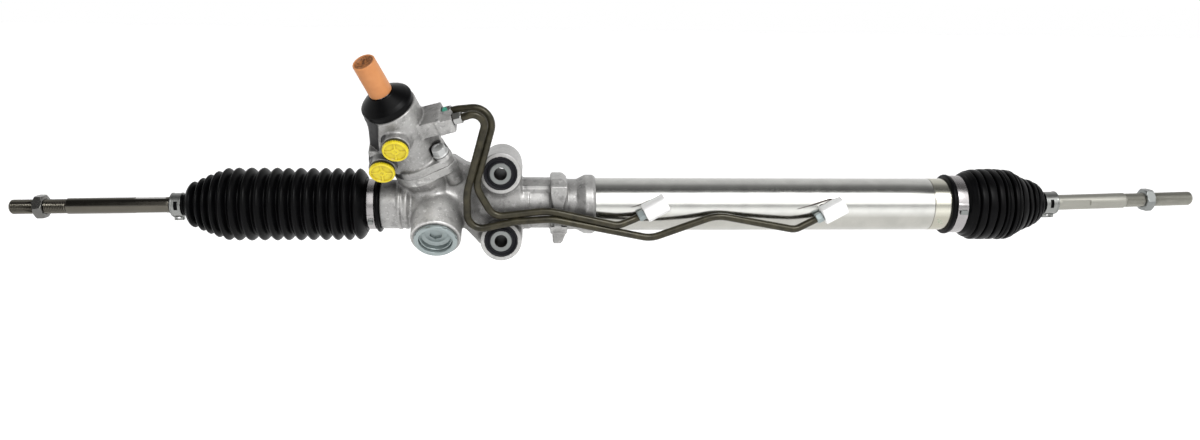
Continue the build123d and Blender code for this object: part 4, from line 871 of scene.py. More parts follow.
# painted reflection: dark lines on the tube beside the port bosses stand in for the reflection of the boss edges
for nm, line in (("left", [(126.7, 85.0), (135.1, 79.5), (143.5, 73.0), (150.6, 65.5), (156.3, 58.0)]),
                 ("right", [(291.1, 89.1), (299.6, 84.1), (308.1, 78.5), (316.8, 72.4), (325.5, 66.1)])):
    u = np.linspace(0, 1, 25)
    kx = np.interp(u * 4, range(5), [q[0] for q in line])
    ka = np.radians(np.polyval(np.polyfit(range(5), [q[1] for q in line], 2), u * 4))
    path = [at(a, -(tr + 0.25) * math.sin(b), (tr + 0.25) * math.cos(b)) for a, b in zip(kx, ka)]
    V, F = tube_mesh(path, 0.85, 12)
    mid_ = np.array(path)
    k_ = np.clip(np.array([np.argmin(((mid_ - v) ** 2).sum(1)) for v in V]) / 24.0, 0, 1)
    V = V + (mid_[(k_ * 24).astype(int)] - V) * (0.75 - 0.75 * np.minimum(1, k_ * 1.6))[:, None]
    put("boss_reflection_line_" + nm, V, F, "housing", braze_and_painted_reflection, [])


def join(parts):
    V, F, o = [], [], 0
    for v, f in parts:
        V.append(v)
        F += [tuple(i + o for i in q) for q in f]
        o += len(v)
    return np.vstack(V), F


def hexer(apothem, chamfer=0.8):
    """Radius function of a hexagon with chamfered ends; the profile's r is the largest radius there."""
    def fun(px, pr, th):
        k = np.abs((th % (math.pi / 3)) - math.pi / 6)
        return np.minimum(apothem / np.cos(math.pi / 6 - k), pr)
    return fun


def hex_nut(o, axis, apothem, h, bore, x0=0.0, n=12, ch=1.6):
    R = apothem / math.cos(math.pi / 6)
    outer = [(x0 + i * ch / 5, apothem - 0.25 + (R - apothem + 0.3) * (i / 5) ** 0.9) for i in range(6)]
    pts = [(x0, bore + 0.6)] + outer + [(x0 + h - x + x0, r) for x, r in reversed(outer)] + [(x0 + h, bore + 0.6), (x0 + h - 0.6, bore),
                                                                                            (x0 + 0.6, bore)]
    th_fun = hexer(apothem)

    def fun(px, pr, th):
        if pr <= bore + 0.65:
            return np.full(th.shape, pr)
        return th_fun(px, pr, th)
    return lathe(o, axis, pts, 144, fun)


green_nut = with_spots(zinc, "zinc_daubed", [(tower(92, 46, 0), 5.5, 0.5), (tower(96, 44, -3), 4.0, 0.5)], GREEN, 0.9)
V, F = join([hex_nut(tower(92, 42.05, -6), M, 5.0, 8.0, 3.3, 0, 12, 1.0)])
put("flare_nut_upper", V, F, "housing", green_nut, ["valve_flare_nuts"])
V, F = join([hex_nut(tower(92.6, 53.05, 8), M, 5.0, 8.0, 3.3, 0, 12, 1.0)])
put("flare_nut_lower", V, F, "housing", zinc, ["valve_flare_nuts"])
for name, face in (("left", pl), ("right", pr_)):
    V, F = hex_nut(face + 0.05 * PD, PD, 4.68, 7.0, 3.3, 0, 12, 0.9)
    put("flare_nut_" + name, V, F, "housing", zinc_blue, ["cylinder_flare_nuts"])

# ---------------------------------------------------------------------------
# Bolts
# ---------------------------------------------------------------------------
parts = []
for s in (1, -1):
    o = tower(60.55, s * BS, s * BF)
    parts.append(lathe(o, D, soft([(0, 0), (0, 7.6), (0.4, 7.9), (1.1, 7.9), (1.9, 6.6), (1.9, 0)], 0.25), 96, None, False))
    ap = 6.0

    def hx(px, pr, th, ap=ap):
        k = np.abs((th % (math.pi / 3)) - math.pi / 6)
        return np.minimum(ap / np.cos(math.pi / 6 - k), pr) if pr > 4.6 else np.full(th.shape, pr)
    parts.append(lathe(o, D, [(1.0, 6.95), (6.6, 6.95), (7.2, 6.6), (7.8, 6.0), (7.9, 5.4), (7.9, 4.2), (7.3, 3.7), (7.3, 0)], 144, hx, False))
V, F = join(parts)
put("housing_bolts", V, F, "housing", bolt_zinc, ["valve_housing_bolts"])

# ---------------------------------------------------------------------------
# Dust cover, transit sleeve, plugs
# ---------------------------------------------------------------------------
V, F = lathe(P0, D, soft([(119.9, 21.5), (119.9, 23.5), (121, 24.4), (124.8, 24.4), (126.2, 23.9), (127.2, 22.6), (129.0, 20.8),
                          (132.0, 16.8), (134.4, 13.6), (135.4, 12.2), (136.2, 11.4), (136.2, 9.9), (134.2, 9.9), (132.2, 12),
                          (129.2, 16), (126.3, 20), (124.8, 21.5)], 0.9, 4), 160)
put("cover_cap", V, F, "housing", rub_cap, ["dust_cover"])

V, F = lathe(P0, D, soft([(138.2, 8.75), (136.8, 9.6), (136.7, 10.4), (137.4, 10.8), (155, 10.68), (171.2, 10.5), (172, 10.0), (172, 9.1),
                          (171.2, 8.75)], 0.35, 3), 128)
put("sleeve_cap", V, F, "transit_sleeve", orange, ["transit_sleeve"])


V, F = lathe(P0, D, [(171.3, 8.74), (170.4, 8.2), (169.5, 6.6), (169.0, 4.2), (168.8, 0.0), (167.4, 0.0), (167.4, 8.74)], 96, None, True)
put("sleeve_dish", V, F, "transit_sleeve", dish, [], 30.0)


def plug_mesh(s_, h_):
    """Moulded cap: fluted rim, shallow dish with a raised cross, and a stem."""
    o = tower(h_, s_, 0)
    x, y, z = basis(N)
    seg = 240
    th = np.linspace(0, 2 * math.pi, seg, endpoint=False)
    rows = []
    rs = np.concatenate([np.linspace(0.15, 9.2, 46), np.linspace(9.3, 10.6, 10), np.linspace(10.7, 11.55, 6)])
    for r in rs:
        X, Y = r * np.cos(th), r * np.sin(th)
        base_h = PF + 4.9
        rim = np.clip((r - 9.4) / 0.6, 0, 1)
        hgt = np.full(seg, base_h) + 1.1 * rim * rim * (3 - 2 * rim)
        for ax_ in (X, Y):
            w = np.clip((1.15 - np.abs(ax_)) / 0.35, 0, 1)
            hgt = np.maximum(hgt, base_h + 0.7 * w * w * (3 - 2 * w) * (r < 9.6))
        c_ = np.clip((3.9 - r) / 0.4, 0, 1)
        hgt = np.maximum(hgt, base_h + 0.8 * c_)
        c_ = np.clip((1.7 - r) / 0.4, 0, 1)
        hgt = hgt - 0.5 * c_
        edge = np.clip((r - 11.1) / 0.45, 0, 1)
        hgt = hgt - 0.35 * edge ** 2
        rows.append(o + X[:, None] * y + Y[:, None] * z + hgt[:, None] * x)
    flute = 0.22 * (np.cos(36 * th) > 0.2)
    for hh, rr_ in ((PF + 5.2, 11.9), (PF + 4.2, 12.0), (PF + 3.1, 12.0), (PF + 2.9, 11.8), (PF + 0.6, 11.7), (PF + 0.12, 11.3)):
        r = rr_ - flute
        rows.append(o + (r * np.cos(th))[:, None] * y + (r * np.sin(th))[:, None] * z + hh * x)
    for hh, rr_ in ((PF + 0.12, 8.0), (PF - 7.6, 8.0), (PF - 8.0, 7.6)):
        rows.append(o + (rr_ * np.cos(th))[:, None] * y + (rr_ * np.sin(th))[:, None] * z + np.full((seg, 1), hh) * x)
    V = np.vstack(rows)
    F = []
    for i in range(len(rows) - 1):
        for k in range(seg):
            a, b = i * seg + k, i * seg + (k + 1) % seg
            F.append((a, b, b + seg, a + seg))
    F.append(tuple(range(seg))[::-1])
    F.append(tuple((len(rows) - 1) * seg + k for k in range(seg)))
    return V, [q[::-1] for q in F]


for nm, s_, h_ in (("upper", S1, H1), ("lower", S2, H2)):
    V, F = plug_mesh(s_, h_)
    ob = put("plug_cap_" + nm, V, F, "plug_" + nm, yellow, ["port_plug_" + nm], 30.0)
    # the side wall and stem under the rim get the painted shade
    ob.data.materials.append(plug_side_shade)
    for pl_ in ob.data.polygons:
        if (np.array(pl_.center) / MM - P0) @ N < PF + 2.9:
            pl_.material_index = 1

# ---------------------------------------------------------------------------
# Yoke plug and lock ring
# ---------------------------------------------------------------------------
f = Field(0.35)
f.add(rev(RP, N, [(31, 10.5), (31, 15.4), (31.6, 16.0), (46.6, 16.0), (47.2, 15.4), (47.2, 14.6), (46.6, 14.2), (42.4, 14.2),
                  (40.8, 10.6), (40.8, 0), (36.5, 0), (36.5, 10.5)]))
f.cut(prism(RP, XA, np.cross(N, XA), ngon(6.6, 6, 0.3), 38.5, 42.0), 0.0, True)
V, F, mk = f.build()
put("yoke_plug", V, F, "housing", zinc_blue, ["rack_guide_plug"], 40.0)

f = Field(0.3)
f.add(rev(RP, N, [(YF + 0.05, 16.05), (YF + 0.05, 20.3), (YF + 0.6, 20.85), (YF + 3.0, 20.85), (YF + 4.0, 19.9), (YF + 4.0, 17.0),
                  (YF + 3.2, 16.05)]))
for k in range(8):
    a = 2 * math.pi * (k + 0.35) / 8
    d_ = math.cos(a) * XA + math.sin(a) * np.cross(N, XA)
    t_ = np.cross(N, d_)
    f.cut(prism(RP + 21.6 * d_, d_, t_, rect(2.4, 4.0), YF + 0.9, YF + 5, 0.3), 0.3, True)
V, F, mk = f.build()
put("yoke_lock_ring", V, F, "housing", zinc_blue, ["rack_guide_lock_ring"], 40.0)

# ---------------------------------------------------------------------------
# Bushes
# ---------------------------------------------------------------------------
for nm, s in (("upper", 1), ("lower", -1)):
    o = np.array([0.0, 0.0, 33.0 * s])
    half = [(-31.3, 10.42), (-31.3, 11.6), (-30.6, 12.2), (-29.4, 12.6), (-29.2, 13.6), (-30.2, 14.4), (-30.6, 15.4), (-29.6, 15.98)]
    prof = half + [(-x, r) for x, r in reversed(half)]
    V, F = lathe(o, YA, soft(prof, 0.3, 3), 128)
    put("bush_rubber_" + nm, V, F, "housing", rub_bush, ["bushing_rubber_" + nm])
    V, F = lathe(o, YA, soft([(-32, 6.1), (-32, 9.9), (-31.5, 10.4), (31.5, 10.4), (32, 9.9), (32, 6.1)], 0.3, 3), 112)
    ob = put("bush_sleeve_" + nm, V, F, "housing", nut_grey, ["bushing_sleeve_" + nm])
    # the bore faces of the sleeve get the painted shade colour
    ob.data.materials.append(bore_painted_shade)
    for pl_ in ob.data.polygons:
        c_ = pl_.center
        if math.hypot(c_.x, c_.z - 0.033 * s) < 0.0063:
            pl_.material_index = 1

# ---------------------------------------------------------------------------
# Band clamps and small clips
# ---------------------------------------------------------------------------
def band(x0, x1, r0, r1, ang, name, cad):
    """Flat band with rolled edges, an overlapping end and a crimped ear."""
    prof = soft([(x0, r0), (x0, r1 - 0.25), (x0 + 0.5, r1), (x1 - 0.5, r1), (x1, r1 - 0.25), (x1, r0)], 0.2, 2)

    def rf(px, pr, th):
        d = (th - ang) % (2 * math.pi)
        step = np.clip((0.55 - d) / 0.02, 0, 1) * np.clip(d / 0.02, 0, 1)
        return pr + (0.55 * step if pr > r0 + 0.1 else 0.0)
    parts = [lathe(AX, XA, prof, 288, rf)]
    x, y, z = basis(XA)
    c = math.cos(ang + 0.28) * y + math.sin(ang + 0.28) * z
    t = -math.sin(ang + 0.28) * y + math.cos(ang + 0.28) * z
    w = (x1 - x0) * 0.7
    mid = (x0 + x1) / 2
    fe = Field(0.3)
    o = AX + mid * x + (r1 + 0.2) * c
    fe.add(prism(o, c, t, [(-0.4, -3.4), (1.0, -1.9), (3.1, -2.1), (3.1, 2.1), (1.0, 1.9), (-0.4, 3.4)], -w / 2, w / 2, 0.5))
    fe.cut(prism(o, c, t, [(-1.5, -1.0), (2.2, -1.0), (2.2, 1.0), (-1.5, 1.0)], -w, w, 0.3), 0.0, False)
    for sg in (1, -1):
        fe.cut(prism(o, c, t, [(1.1, sg * 2.2), (2.5, sg * 1.6), (2.5, sg * 4.5), (1.1, sg * 4.5)][::sg], -w, w, 0.3), 0.0, False)
    v, f_, _ = fe.build()
    parts.append((v, [tuple(q) for q in f_.tolist()]))
    V, F = join(parts)
    ob = put(name, V, F, "housing", band_steel, [cad])
    ob.data.materials.append(nut_grey)
    for pl_ in ob.data.polygons:
        c_ = pl_.center
        if math.hypot(c_.y, c_.z - RZ * MM) / MM > r1 + 0.62:
            pl_.material_index = 1


band(-129.0, -121.9, 23.9, 24.8, 1.80, "band_left", "large_clamp_left")
band(453.6, 464.4, 28.3, 29.2, 1.36, "band_right", "large_clamp_right")

BL, BR = at(-267.5, 0, 0), at(517.5, 0, 0)
AL, AR = math.radians(-0.8), math.radians(1.8)
DL = np.array([-math.cos(AL), 0.0, math.sin(AL)])
DR = np.array([math.cos(AR), 0.0, math.sin(AR)])

for nm, o, d_, ca, cb in (("left", BL, DL, 40.0, 50.0), ("right", BR, DR, 36.9, 50.0)):
    up = unit(ZA - (ZA @ d_) * d_)
    fr = -YA
    f = Field(0.28)
    mid = (ca + cb) / 2
    f.add(rev(o, d_, [(ca, 10.15), (ca, 11.35), (cb, 11.35), (cb, 10.15)]))
    f.add(rev(o, d_, [(ca, 10.15), (ca, 11.75), (ca + 1.3, 11.75), (ca + 1.3, 10.15)]), 0.2)
    f.add(rev(o, d_, [(cb - 1.3, 10.15), (cb - 1.3, 11.75), (cb, 11.75), (cb, 10.15)]), 0.2)
    # slotted window towards the front, and the sprung tongues below
    f.cut(prism(o + (mid - 0.6) * d_ + 10.5 * fr, d_, up, rect(3.4, 8.4, 0, 1.0), -4, 4, 0.6), 0.0, False)
    f.add(prism(o + mid * d_, d_, up, rect(cb - ca - 1.2, 3.6, 0, -13.2), -2.8, 2.8, 0.9), 0.6)
    f.cut(prism(o + (mid + 0.6) * d_, d_, up, rect(4.6, 2.4, 0, -13.0), -4, 4, 0.6), 0.0, False)
    f.cut(cyl(o + 38 * d_, o + 52 * d_, 10.12), 0.0, False)
    V, F, mk = f.build()
    put("spring_clip_" + nm, V, F, "rod_" + nm, clip_grey, ["small_clip_" + nm], 40.0)

# ---------------------------------------------------------------------------
# Tie rods with real threads, lock nuts
# ---------------------------------------------------------------------------
def thread_rings(o, d_, t0, t1, r, pitch=1.5, depth=0.82, seg=72, per=9, chamfer=1.4):
    x, y, z = basis(d_)
    th = np.linspace(0, 2 * math.pi, seg, endpoint=False)
    n = int((t1 - t0) / pitch * per)
    rows = []
    for i in range(n + 1):
        t = t0 + (t1 - t0) * i / n
        ph = (t / pitch - th / (2 * math.pi)) % 1.0
        v = np.abs(2 * ph - 1)
        cut = np.clip((v - 0.10) / 0.8, 0, 1) * depth
        fade = np.clip((t - t0) / 1.2, 0, 1)
        rr_ = r - cut * fade
        if t > t1 - chamfer:
            rr_ = np.minimum(rr_, r - (t - (t1 - chamfer)))
        rows.append(o + t * x + (rr_ * np.cos(th))[:, None] * y + (rr_ * np.sin(th))[:, None] * z)
    V = np.vstack(rows)
    F = []
    for i in range(n):
        for k in range(seg):
            a, b = i * seg + k, i * seg + (k + 1) % seg
            F.append((a, a + seg, b + seg, b)[::-1])
    F.append(tuple(n * seg + k for k in range(seg)))
    return V, F


for nm, o, d_, nut_t, t_thread, tip in (("left", BL, DL, 173.3, 149.0, 201.4), ("right", BR, DR, 148.4, 124.0, 195.4)):

    def flats(px, pr, th, d_=d_, way=ZA if nm == "left" else YA):
        # two wrench flats: above and below on the left rod, front and back on the right one
        x, y, z = basis(d_)
        if 55.5 < px < 85.5 and pr > 7:
            k = np.abs(np.cos(th) * (y @ way) + np.sin(th) * (z @ way))
            return np.minimum(pr, 6.92 / np.maximum(k, 1e-3))
        return np.full(th.shape, pr)
    prof = [(-10.0, 0.0), (-10.0, 6.63), (-8, 8.94), (-5, 10.9), (-2, 11.83), (0, 12.0), (3, 11.62), (6, 10.39), (8.5, 8.47), (10.39, 6.0)]
    prof += soft([(10.39, 6.0), (21, 6.0), (27.5, 7.75), (38.6, 7.75), (39.4, 7.35), (51.6, 7.35), (52.4, 7.75), (55.4, 7.75), (55.6, 7.75),
                  (85.4, 7.75), (85.6, 7.75), (t_thread - 0.9, 7.75), (t_thread, 6.9), (t_thread + 0.4, 6.7)], 0.3, 3, False)[1:]
    parts = [lathe(o, d_, prof, 96, flats, False), thread_rings(o, d_, t_thread, tip, 7.0)]
    V, F = join(parts)
    put("tie_rod_" + nm + "_bar", V, F, "rod_" + nm, rod_dark if nm == "left" else rod_light, ["tie_rod_" + nm])
    V, F = hex_nut(o, d_, 10.5, 9.0, 7.05, nut_t - 4.5, 12, 1.6)
    put("lock_nut_" + nm + "_hex", V, F, "rod_" + nm, nut_dark if nm == "left" else nut_grey, ["lock_nut_" + nm])

# ---------------------------------------------------------------------------
# Bellows
# ---------------------------------------------------------------------------
crests_l = [(-138.0, 35.0), (-148.3, 35.5), (-159.5, 35.5), (-171.1, 35.5), (-183.3, 35.5), (-195.2, 35.5),
            (-206.9, 35.5), (-217.8, 35.5), (-230.0, 35.5), (-242.3, 35.6), (-254.2, 35.6), (-264.0, 35.2),
            (-273.1, 32.2), (-281.2, 28.9), (-288.4, 25.8), (-296.6, 22.4)]


def fold_profile_left():
    """(x, r) from the housing end outwards."""
    val = [(-131.0, 26.8)]
    for i in range(len(crests_l) - 1):
        (x, r), (nx, nr) = crests_l[i], crests_l[i + 1]
        v = min(r, nr) - (7.0 if i < 11 else 5.2)
        val.append(((x + nx) / 2, v))
    val.append((-302.4, 14.5))
    pts = []
    for i, (cx, cr) in enumerate(crests_l):
        for (ax_, ar), (bx, br), up in ((val[i], (cx, cr), True), ((cx, cr), val[i + 1], False)):
            m = 7
            for k in range(m):
                u = k / m
                s = (1 - u) if up else u          # 1 at the valley, 0 at the crest
                x_ = ax_ + (bx - ax_) * u
                vr, crr = (ar, br) if up else (br, ar)
                g = 1 - s ** 1.9
                g = g * (1 - 0.12 * s * (1 - s))
                pts.append((x_, vr + (crr - vr) * g))
    pts.append(val[-1])
    return pts


def rnd(i, j=0):
    v_ = math.sin(i * 12.9898 + j * 78.233) * 43758.5453
    return v_ - math.floor(v_)


def bellows_grid(o_rack, prof, shift, seg, wobble, sway=None):
    """Rings of vertices with normals, so that neighbouring pieces shade as one."""
    th = np.linspace(0, 2 * math.pi, seg, endpoint=False)
    rings = []
    for px, pr in prof:
        r = pr + wobble(px, th)
        dx = shift(px)
        ax = 0.0 * th if sway is None else sway(px, th)
        rings.append(np.stack([px + ax, r * np.sin(th) * -1.0, r * np.cos(th) + RZ + dx], -1))
    R = np.array(rings)
    du = np.zeros_like(R)
    du[1:-1] = R[2:] - R[:-2]
    du[0], du[-1] = R[1] - R[0], R[-1] - R[-2]
    dv = np.roll(R, -1, 1) - np.roll(R, 1, 1)
    nn = np.cross(du, dv)
    nn /= np.maximum(np.linalg.norm(nn, axis=2), 1e-9)[..., None]
    rad = R.copy()
    rad[..., 0] = 0
    rad[..., 2] -= RZ
    if (nn * rad).sum() < 0:
        nn = -nn
    return R, nn


def strip(name, R, NN, i0, i1, mat_, cad):
    r, nn = R[i0:i1 + 1], NN[i0:i1 + 1]
    m, seg = r.shape[:2]
    idx = np.arange(m * seg).reshape(m, seg)
    a, b = idx[:-1], idx[1:]
    F = np.stack([a, np.roll(a, -1, 1), np.roll(b, -1, 1), b], -1).reshape(-1, 4)
    V = r.reshape(-1, 3)
    fn = np.cross(V[F[:, 1]] - V[F[:, 0]], V[F[:, 2]] - V[F[:, 0]])
    if (fn * nn.reshape(-1, 3)[F[:, 0]]).sum() < 0:
        F = np.ascontiguousarray(F[:, ::-1])
    ob = put(name, V, F, None, mat_, cad, None)
    ob.data.normals_split_custom_set_from_vertices([tuple(v_) for v_ in nn.reshape(-1, 3)])
    return ob


def fold_pieces(side, R, NN, xs, weights, mat_, cad):
    """Cuts the rings into pieces between the x of successive (x, w) break points; the w values are not used here."""
    n = 0
    for (xa, wa), (xb, wb) in zip(weights, weights[1:]):
        i0 = int(np.argmin(np.abs(xs - xa)))
        i1 = int(np.argmin(np.abs(xs - xb)))
        if i1 <= i0:
            continue
        ob = strip(f"bellows_{side}_fold_{n:02d}", R, NN, i0, i1, mat_, cad)
        n += 1
        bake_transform(ob)


WS = [0.0, 0.02, 0.06, 0.15, 0.3, 0.5, 0.7, 0.85, 0.94, 0.98, 1.0]


def stations(x0, x1, end=6.0):
    """Break points: slow first and last stretch, linear between."""
    s = 1 if x1 > x0 else -1
    out = [(x0, 0.0), (x0 + s * end, 0.02)]
    a, b = x0 + s * end, x1 - s * end
    for w in WS[2:-2]:
        out.append((a + (b - a) * (w - 0.02) / 0.96, w))
    out += [(b, 0.98), (x1, 1.0)]
    return out


def snap(stat, xs):
    """Moves the break points onto rings and keeps weight in line with place."""
    out = []
    for x_, w in stat:
        i = int(np.argmin(np.abs(xs - x_)))
        out.append((float(xs[i]), w))
    x0, x1 = out[0][0], out[-1][0]
    a, b = out[1][0], out[-2][0]
    res = []
    for k, (x_, w) in enumerate(out):
        if 1 < k < len(out) - 2:
            w = 0.02 + 0.96 * (x_ - a) / (b - a)
        res.append((x_, w))
    keep = [res[0]]
    for p in res[1:]:
        if abs(p[0] - keep[-1][0]) > 0.05:
            keep.append(p)
    return keep


prof_l = fold_profile_left()
SEG = 168


def shift_l(px):
    t = -267.5 - px
    return -math.tan(math.radians(0.8)) * t if t > 0 else 0.0


def wob_l(px, th):
    k = int(px // 11)
    return 0.10 * np.sin(2 * th + 6.28 * rnd(k)) + 0.07 * np.sin(3 * th + 6.28 * rnd(k, 3))


R_, NN_ = bellows_grid(None, prof_l, shift_l, SEG, wob_l)
xs = np.array([p[0] for p in prof_l])
X1, X2, X3 = -268.5, -285.0, -302.4
snap_l = snap(stations(-131.0, X1), xs)
fold_pieces("left", R_, NN_, xs, snap_l, rub, ["bellows_left"])
ia, ib, ic = (int(np.argmin(np.abs(xs - v_))) for v_ in (snap_l[-1][0], X2, X3))
ob = strip("bellows_left_cone_in", R_, NN_, ia, ib, rub, ["bellows_left"])
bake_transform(ob)
ob = strip("bellows_left_cone_out", R_, NN_, ib, ic, rub, ["bellows_left"])
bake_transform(ob)
# big cuff at the housing
cuff = soft([(-131.0, 21.55), (-131.0, 26.8), (-130.2, 24.6), (-129.5, 23.8), (-121.6, 23.8), (-121.0, 25.4), (-120.2, 27.0), (-119.0, 27.6),
             (-117.8, 27.2), (-117.15, 26.2), (-117.15, 21.55)], 0.3, 3)
V, F = lathe(AX, XA, cuff, SEG)
put("bellows_left_cuff", V, [q[::-1] for q in F], "housing", rub, ["bellows_left"])
# small cuff on the rod
cuff = soft([(34.8, 7.9), (34.8, 14.3), (36.2, 11.4), (38.2, 10.15), (51.0, 10.05), (51.4, 9.5), (51.4, 7.5), (39.8, 7.5), (39.0, 7.9)], 0.35, 3)
V, F = lathe(BL, DL, cuff, 128)
put("bellows_left_nose", V, F, "rod_left", rub, ["bellows_left"])

# right bellows: pressed together, creases at uneven spacing
outline_r = [(466.6, 30.4), (469.3, 32.2), (472.5, 34.2), (476.0, 35.5), (486, 35.7), (496, 35.8), (506, 35.8), (513, 35.5), (516.5, 34.8),
             (523.9, 30.6), (531.9, 26.0), (540.9, 23.4), (545.5, 21.0), (548.6, 18.2), (550.4, 14.8), (551.0, 12.6)]
creases = [(474.2, 2.8, 0.9), (482.8, 3.4, 0.8), (493.0, 3.8, 0.9), (500.6, 3.4, 0.7), (503.9, 1.3, 0.5), (509.0, 3.8, 0.9), (515.4, 1.8, 0.7),
           (519.6, 3.4, 0.9), (528.0, 3.2, 0.9), (534.6, 2.8, 0.8), (541.0, 2.8, 0.8), (546.3, 1.4, 0.6)]
ox, orr = np.array([p[0] for p in outline_r]), np.array([p[1] for p in outline_r])
prof_r = []
xq = [466.6]
while xq[-1] < 550.8:
    xq.append(xq[-1] + 0.4)
xq[-1] = 551.0
for x_ in xq:
    r = float(np.interp(x_, ox, orr))
    for c_, d_, w_ in creases:
        r -= d_ * math.exp(-((x_ - c_) / w_) ** 2)
    edges = [466.6] + [c_[0] for c_ in creases if c_[1] > 2] + [551.0]
    for a, b in zip(edges, edges[1:]):
        if a <= x_ <= b:
            u = (x_ - a) / (b - a)
            r += 0.6 * math.sin(math.pi * u) ** 0.7 - 0.45
    prof_r.append((x_, r))


def shift_r(px):
    t = px - 517.5
    return math.tan(math.radians(1.8)) * t if t > 0 else 0.0


def wob_r(px, th):
    e = [c_[0] for c_ in creases]
    k = sum(px > c_ for c_ in e)
    f_ = min(abs(px - c_) for c_ in e + [466.6, 551.0])
    f_ = min(f_ / 1.5, 1.0)
    return f_ * (0.30 * np.sin(th + 6.28 * rnd(k, 1)) + 0.22 * np.sin(2 * th + 6.28 * rnd(k, 2)) + 0.12 * np.sin(5 * th + 6.28 * rnd(k, 5)))


BREAKS = [466.6, 470.6, 478.4, 488.0, 497.0, 506.4, 512.6, 517.4, 523.8, 534.6 + 3.0, 551.0]


def sway_r(px, th):
    """Creases run a little out of true; the places where pieces meet stay true."""
    for a, b in zip(BREAKS, BREAKS[1:]):
        if a <= px <= b:
            u = (px - a) / (b - a)
            k = BREAKS.index(a)
            w = math.sin(math.pi * u) ** 2
            return w * (0.9 * np.sin(th + 6.28 * rnd(k, 11)) + 0.5 * np.sin(2 * th + 6.28 * rnd(k, 12)) + 0.22 * np.sin(7 * th + 6.28 * rnd(k, 13)))
    return 0.0 * th


R_, NN_ = bellows_grid(None, prof_r, shift_r, SEG, wob_r, sway_r)
xs = np.array([p[0] for p in prof_r])
snap_r = snap([(466.6, 0.0), (470.6, 0.02), (478.4, 0.2), (488.0, 0.4), (497.0, 0.6), (506.4, 0.8), (512.6, 0.9), (517.4, 0.98), (523.8, 1.0)], xs)
fold_pieces("right", R_, NN_, xs, snap_r, rub, ["bellows_right"])
ia, ib, ic = (int(np.argmin(np.abs(xs - v_))) for v_ in (snap_r[-1][0], 537.6, 551.0))
ob = strip("bellows_right_cone_in", R_, NN_, ia, ib, rub, ["bellows_right"])
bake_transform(ob)
ob = strip("bellows_right_cone_out", R_, NN_, ib, ic, rub, ["bellows_right"])
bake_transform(ob)
cuff = soft([(472.2, 26.25), (466.6, 27.0), (466.6, 30.2), (465.6, 28.9), (465.0, 28.2), (453.0, 28.2), (452.5, 29.4), (451.4, 30.2), (449.6, 30.2),
             (448.6, 29.4), (448.3, 28.0), (448.3, 26.25)], 0.35, 3)
V, F = lathe(AX, XA, cuff, SEG)
put("bellows_right_cuff", V, F, "housing", rub, ["bellows_right"])
cuff = soft([(33.3, 7.9), (33.3, 12.6), (34.4, 10.9), (35.6, 10.1), (51.0, 10.05), (51.4, 9.5), (51.4, 7.5), (39.8, 7.5), (39.0, 7.9)], 0.35, 3)
V, F = lathe(BR, DR, cuff, 128)
put("bellows_right_nose", V, F, "rod_right", rub, ["bellows_right"])

# ---------------------------------------------------------------------------
# Materials of the CAD nodes that stay visible
# ---------------------------------------------------------------------------
by_slot = {"cast_aluminium": alu, "steel_tube": tube_steel, "steel_bright": bright, "steel_zinc": zinc, "steel_machined": ground,
           "steel_dark": phos, "pipe_coated": pipe_mat, "rubber_black": rub, "seal_plastic": natural, "plastic_orange": orange,
           "plastic_yellow": yellow}
slot_of = {s["node"]: s["material_slot"] for s in frame["record"]["subparts"]}
for nm, ob in frame["nodes"].items():
    ob.data.materials.clear()
    ob.data.materials.append(by_slot[slot_of[nm]])

# ---------------------------------------------------------------------------
# Floor, light, camera
# ---------------------------------------------------------------------------
def plane(name, size, z):
    me = bpy.data.meshes.new(name)
    k = 24
    vs = [(-size + 2 * size * i / k, -size + 2 * size * j / k, z) for i in range(k + 1) for j in range(k + 1)]
    fs = [(i * (k + 1) + j, (i + 1) * (k + 1) + j, (i + 1) * (k + 1) + j + 1, i * (k + 1) + j + 1) for i in range(k) for j in range(k)]
    me.from_pydata(vs, [], fs)
    ob = bpy.data.objects.new(name, me)
    bpy.context.scene.collection.objects.link(ob)
    return ob


floor = plane("studio_floor", 14.0, -0.30)
fm = mat("floor_paper", (0.90, 0.90, 0.90), 0.0, 0.9, 0.1)
shader(fm).inputs["Emission Color"].default_value = (1, 1, 1, 1)
shader(fm).inputs["Emission Strength"].default_value = 0.42
floor.data.materials.append(fm)

world = bpy.data.worlds.new("studio")
bpy.context.scene.world = world
world.use_nodes = True
nt = world.node_tree
bg = nt.nodes["Background"]
tc = nt.nodes.new("ShaderNodeTexCoord")
sep = nt.nodes.new("ShaderNodeSeparateXYZ")
nt.links.new(tc.outputs["Generated"], sep.inputs[0])
neg = nt.nodes.new("ShaderNodeMath"); neg.operation = "MULTIPLY"; neg.inputs[1].default_value = -1.0
nt.links.new(sep.outputs["Y"], neg.inputs[0])
a2 = nt.nodes.new("ShaderNodeMath"); a2.operation = "ARCTAN2"
nt.links.new(sep.outputs["Z"], a2.inputs[0])
nt.links.new(neg.outputs[0], a2.inputs[1])
mr = nt.nodes.new("ShaderNodeMapRange")
mr.inputs["From Min"].default_value = -math.pi
mr.inputs["From Max"].default_value = math.pi
nt.links.new(a2.outputs[0], mr.inputs["Value"])
cr = nt.nodes.new("ShaderNodeValToRGB")
nt.links.new(mr.outputs["Result"], cr.inputs["Fac"])


def deg(a):
    return (math.radians(a) + math.pi) / (2 * math.pi)


def light_ramp(stops, ramp_node):
    els_ = ramp_node.color_ramp.elements
    els_[0].position, els_[0].color = 0.0, (stops[0][1] / 2.5,) * 3 + (1,)
    els_[1].position, els_[1].color = 1.0, (stops[-1][1] / 2.5,) * 3 + (1,)
    for a_, b_ in stops[1:-1]:
        e_ = els_.new(deg(a_))
        e_.color = (b_ / 2.5,) * 3 + (1,)


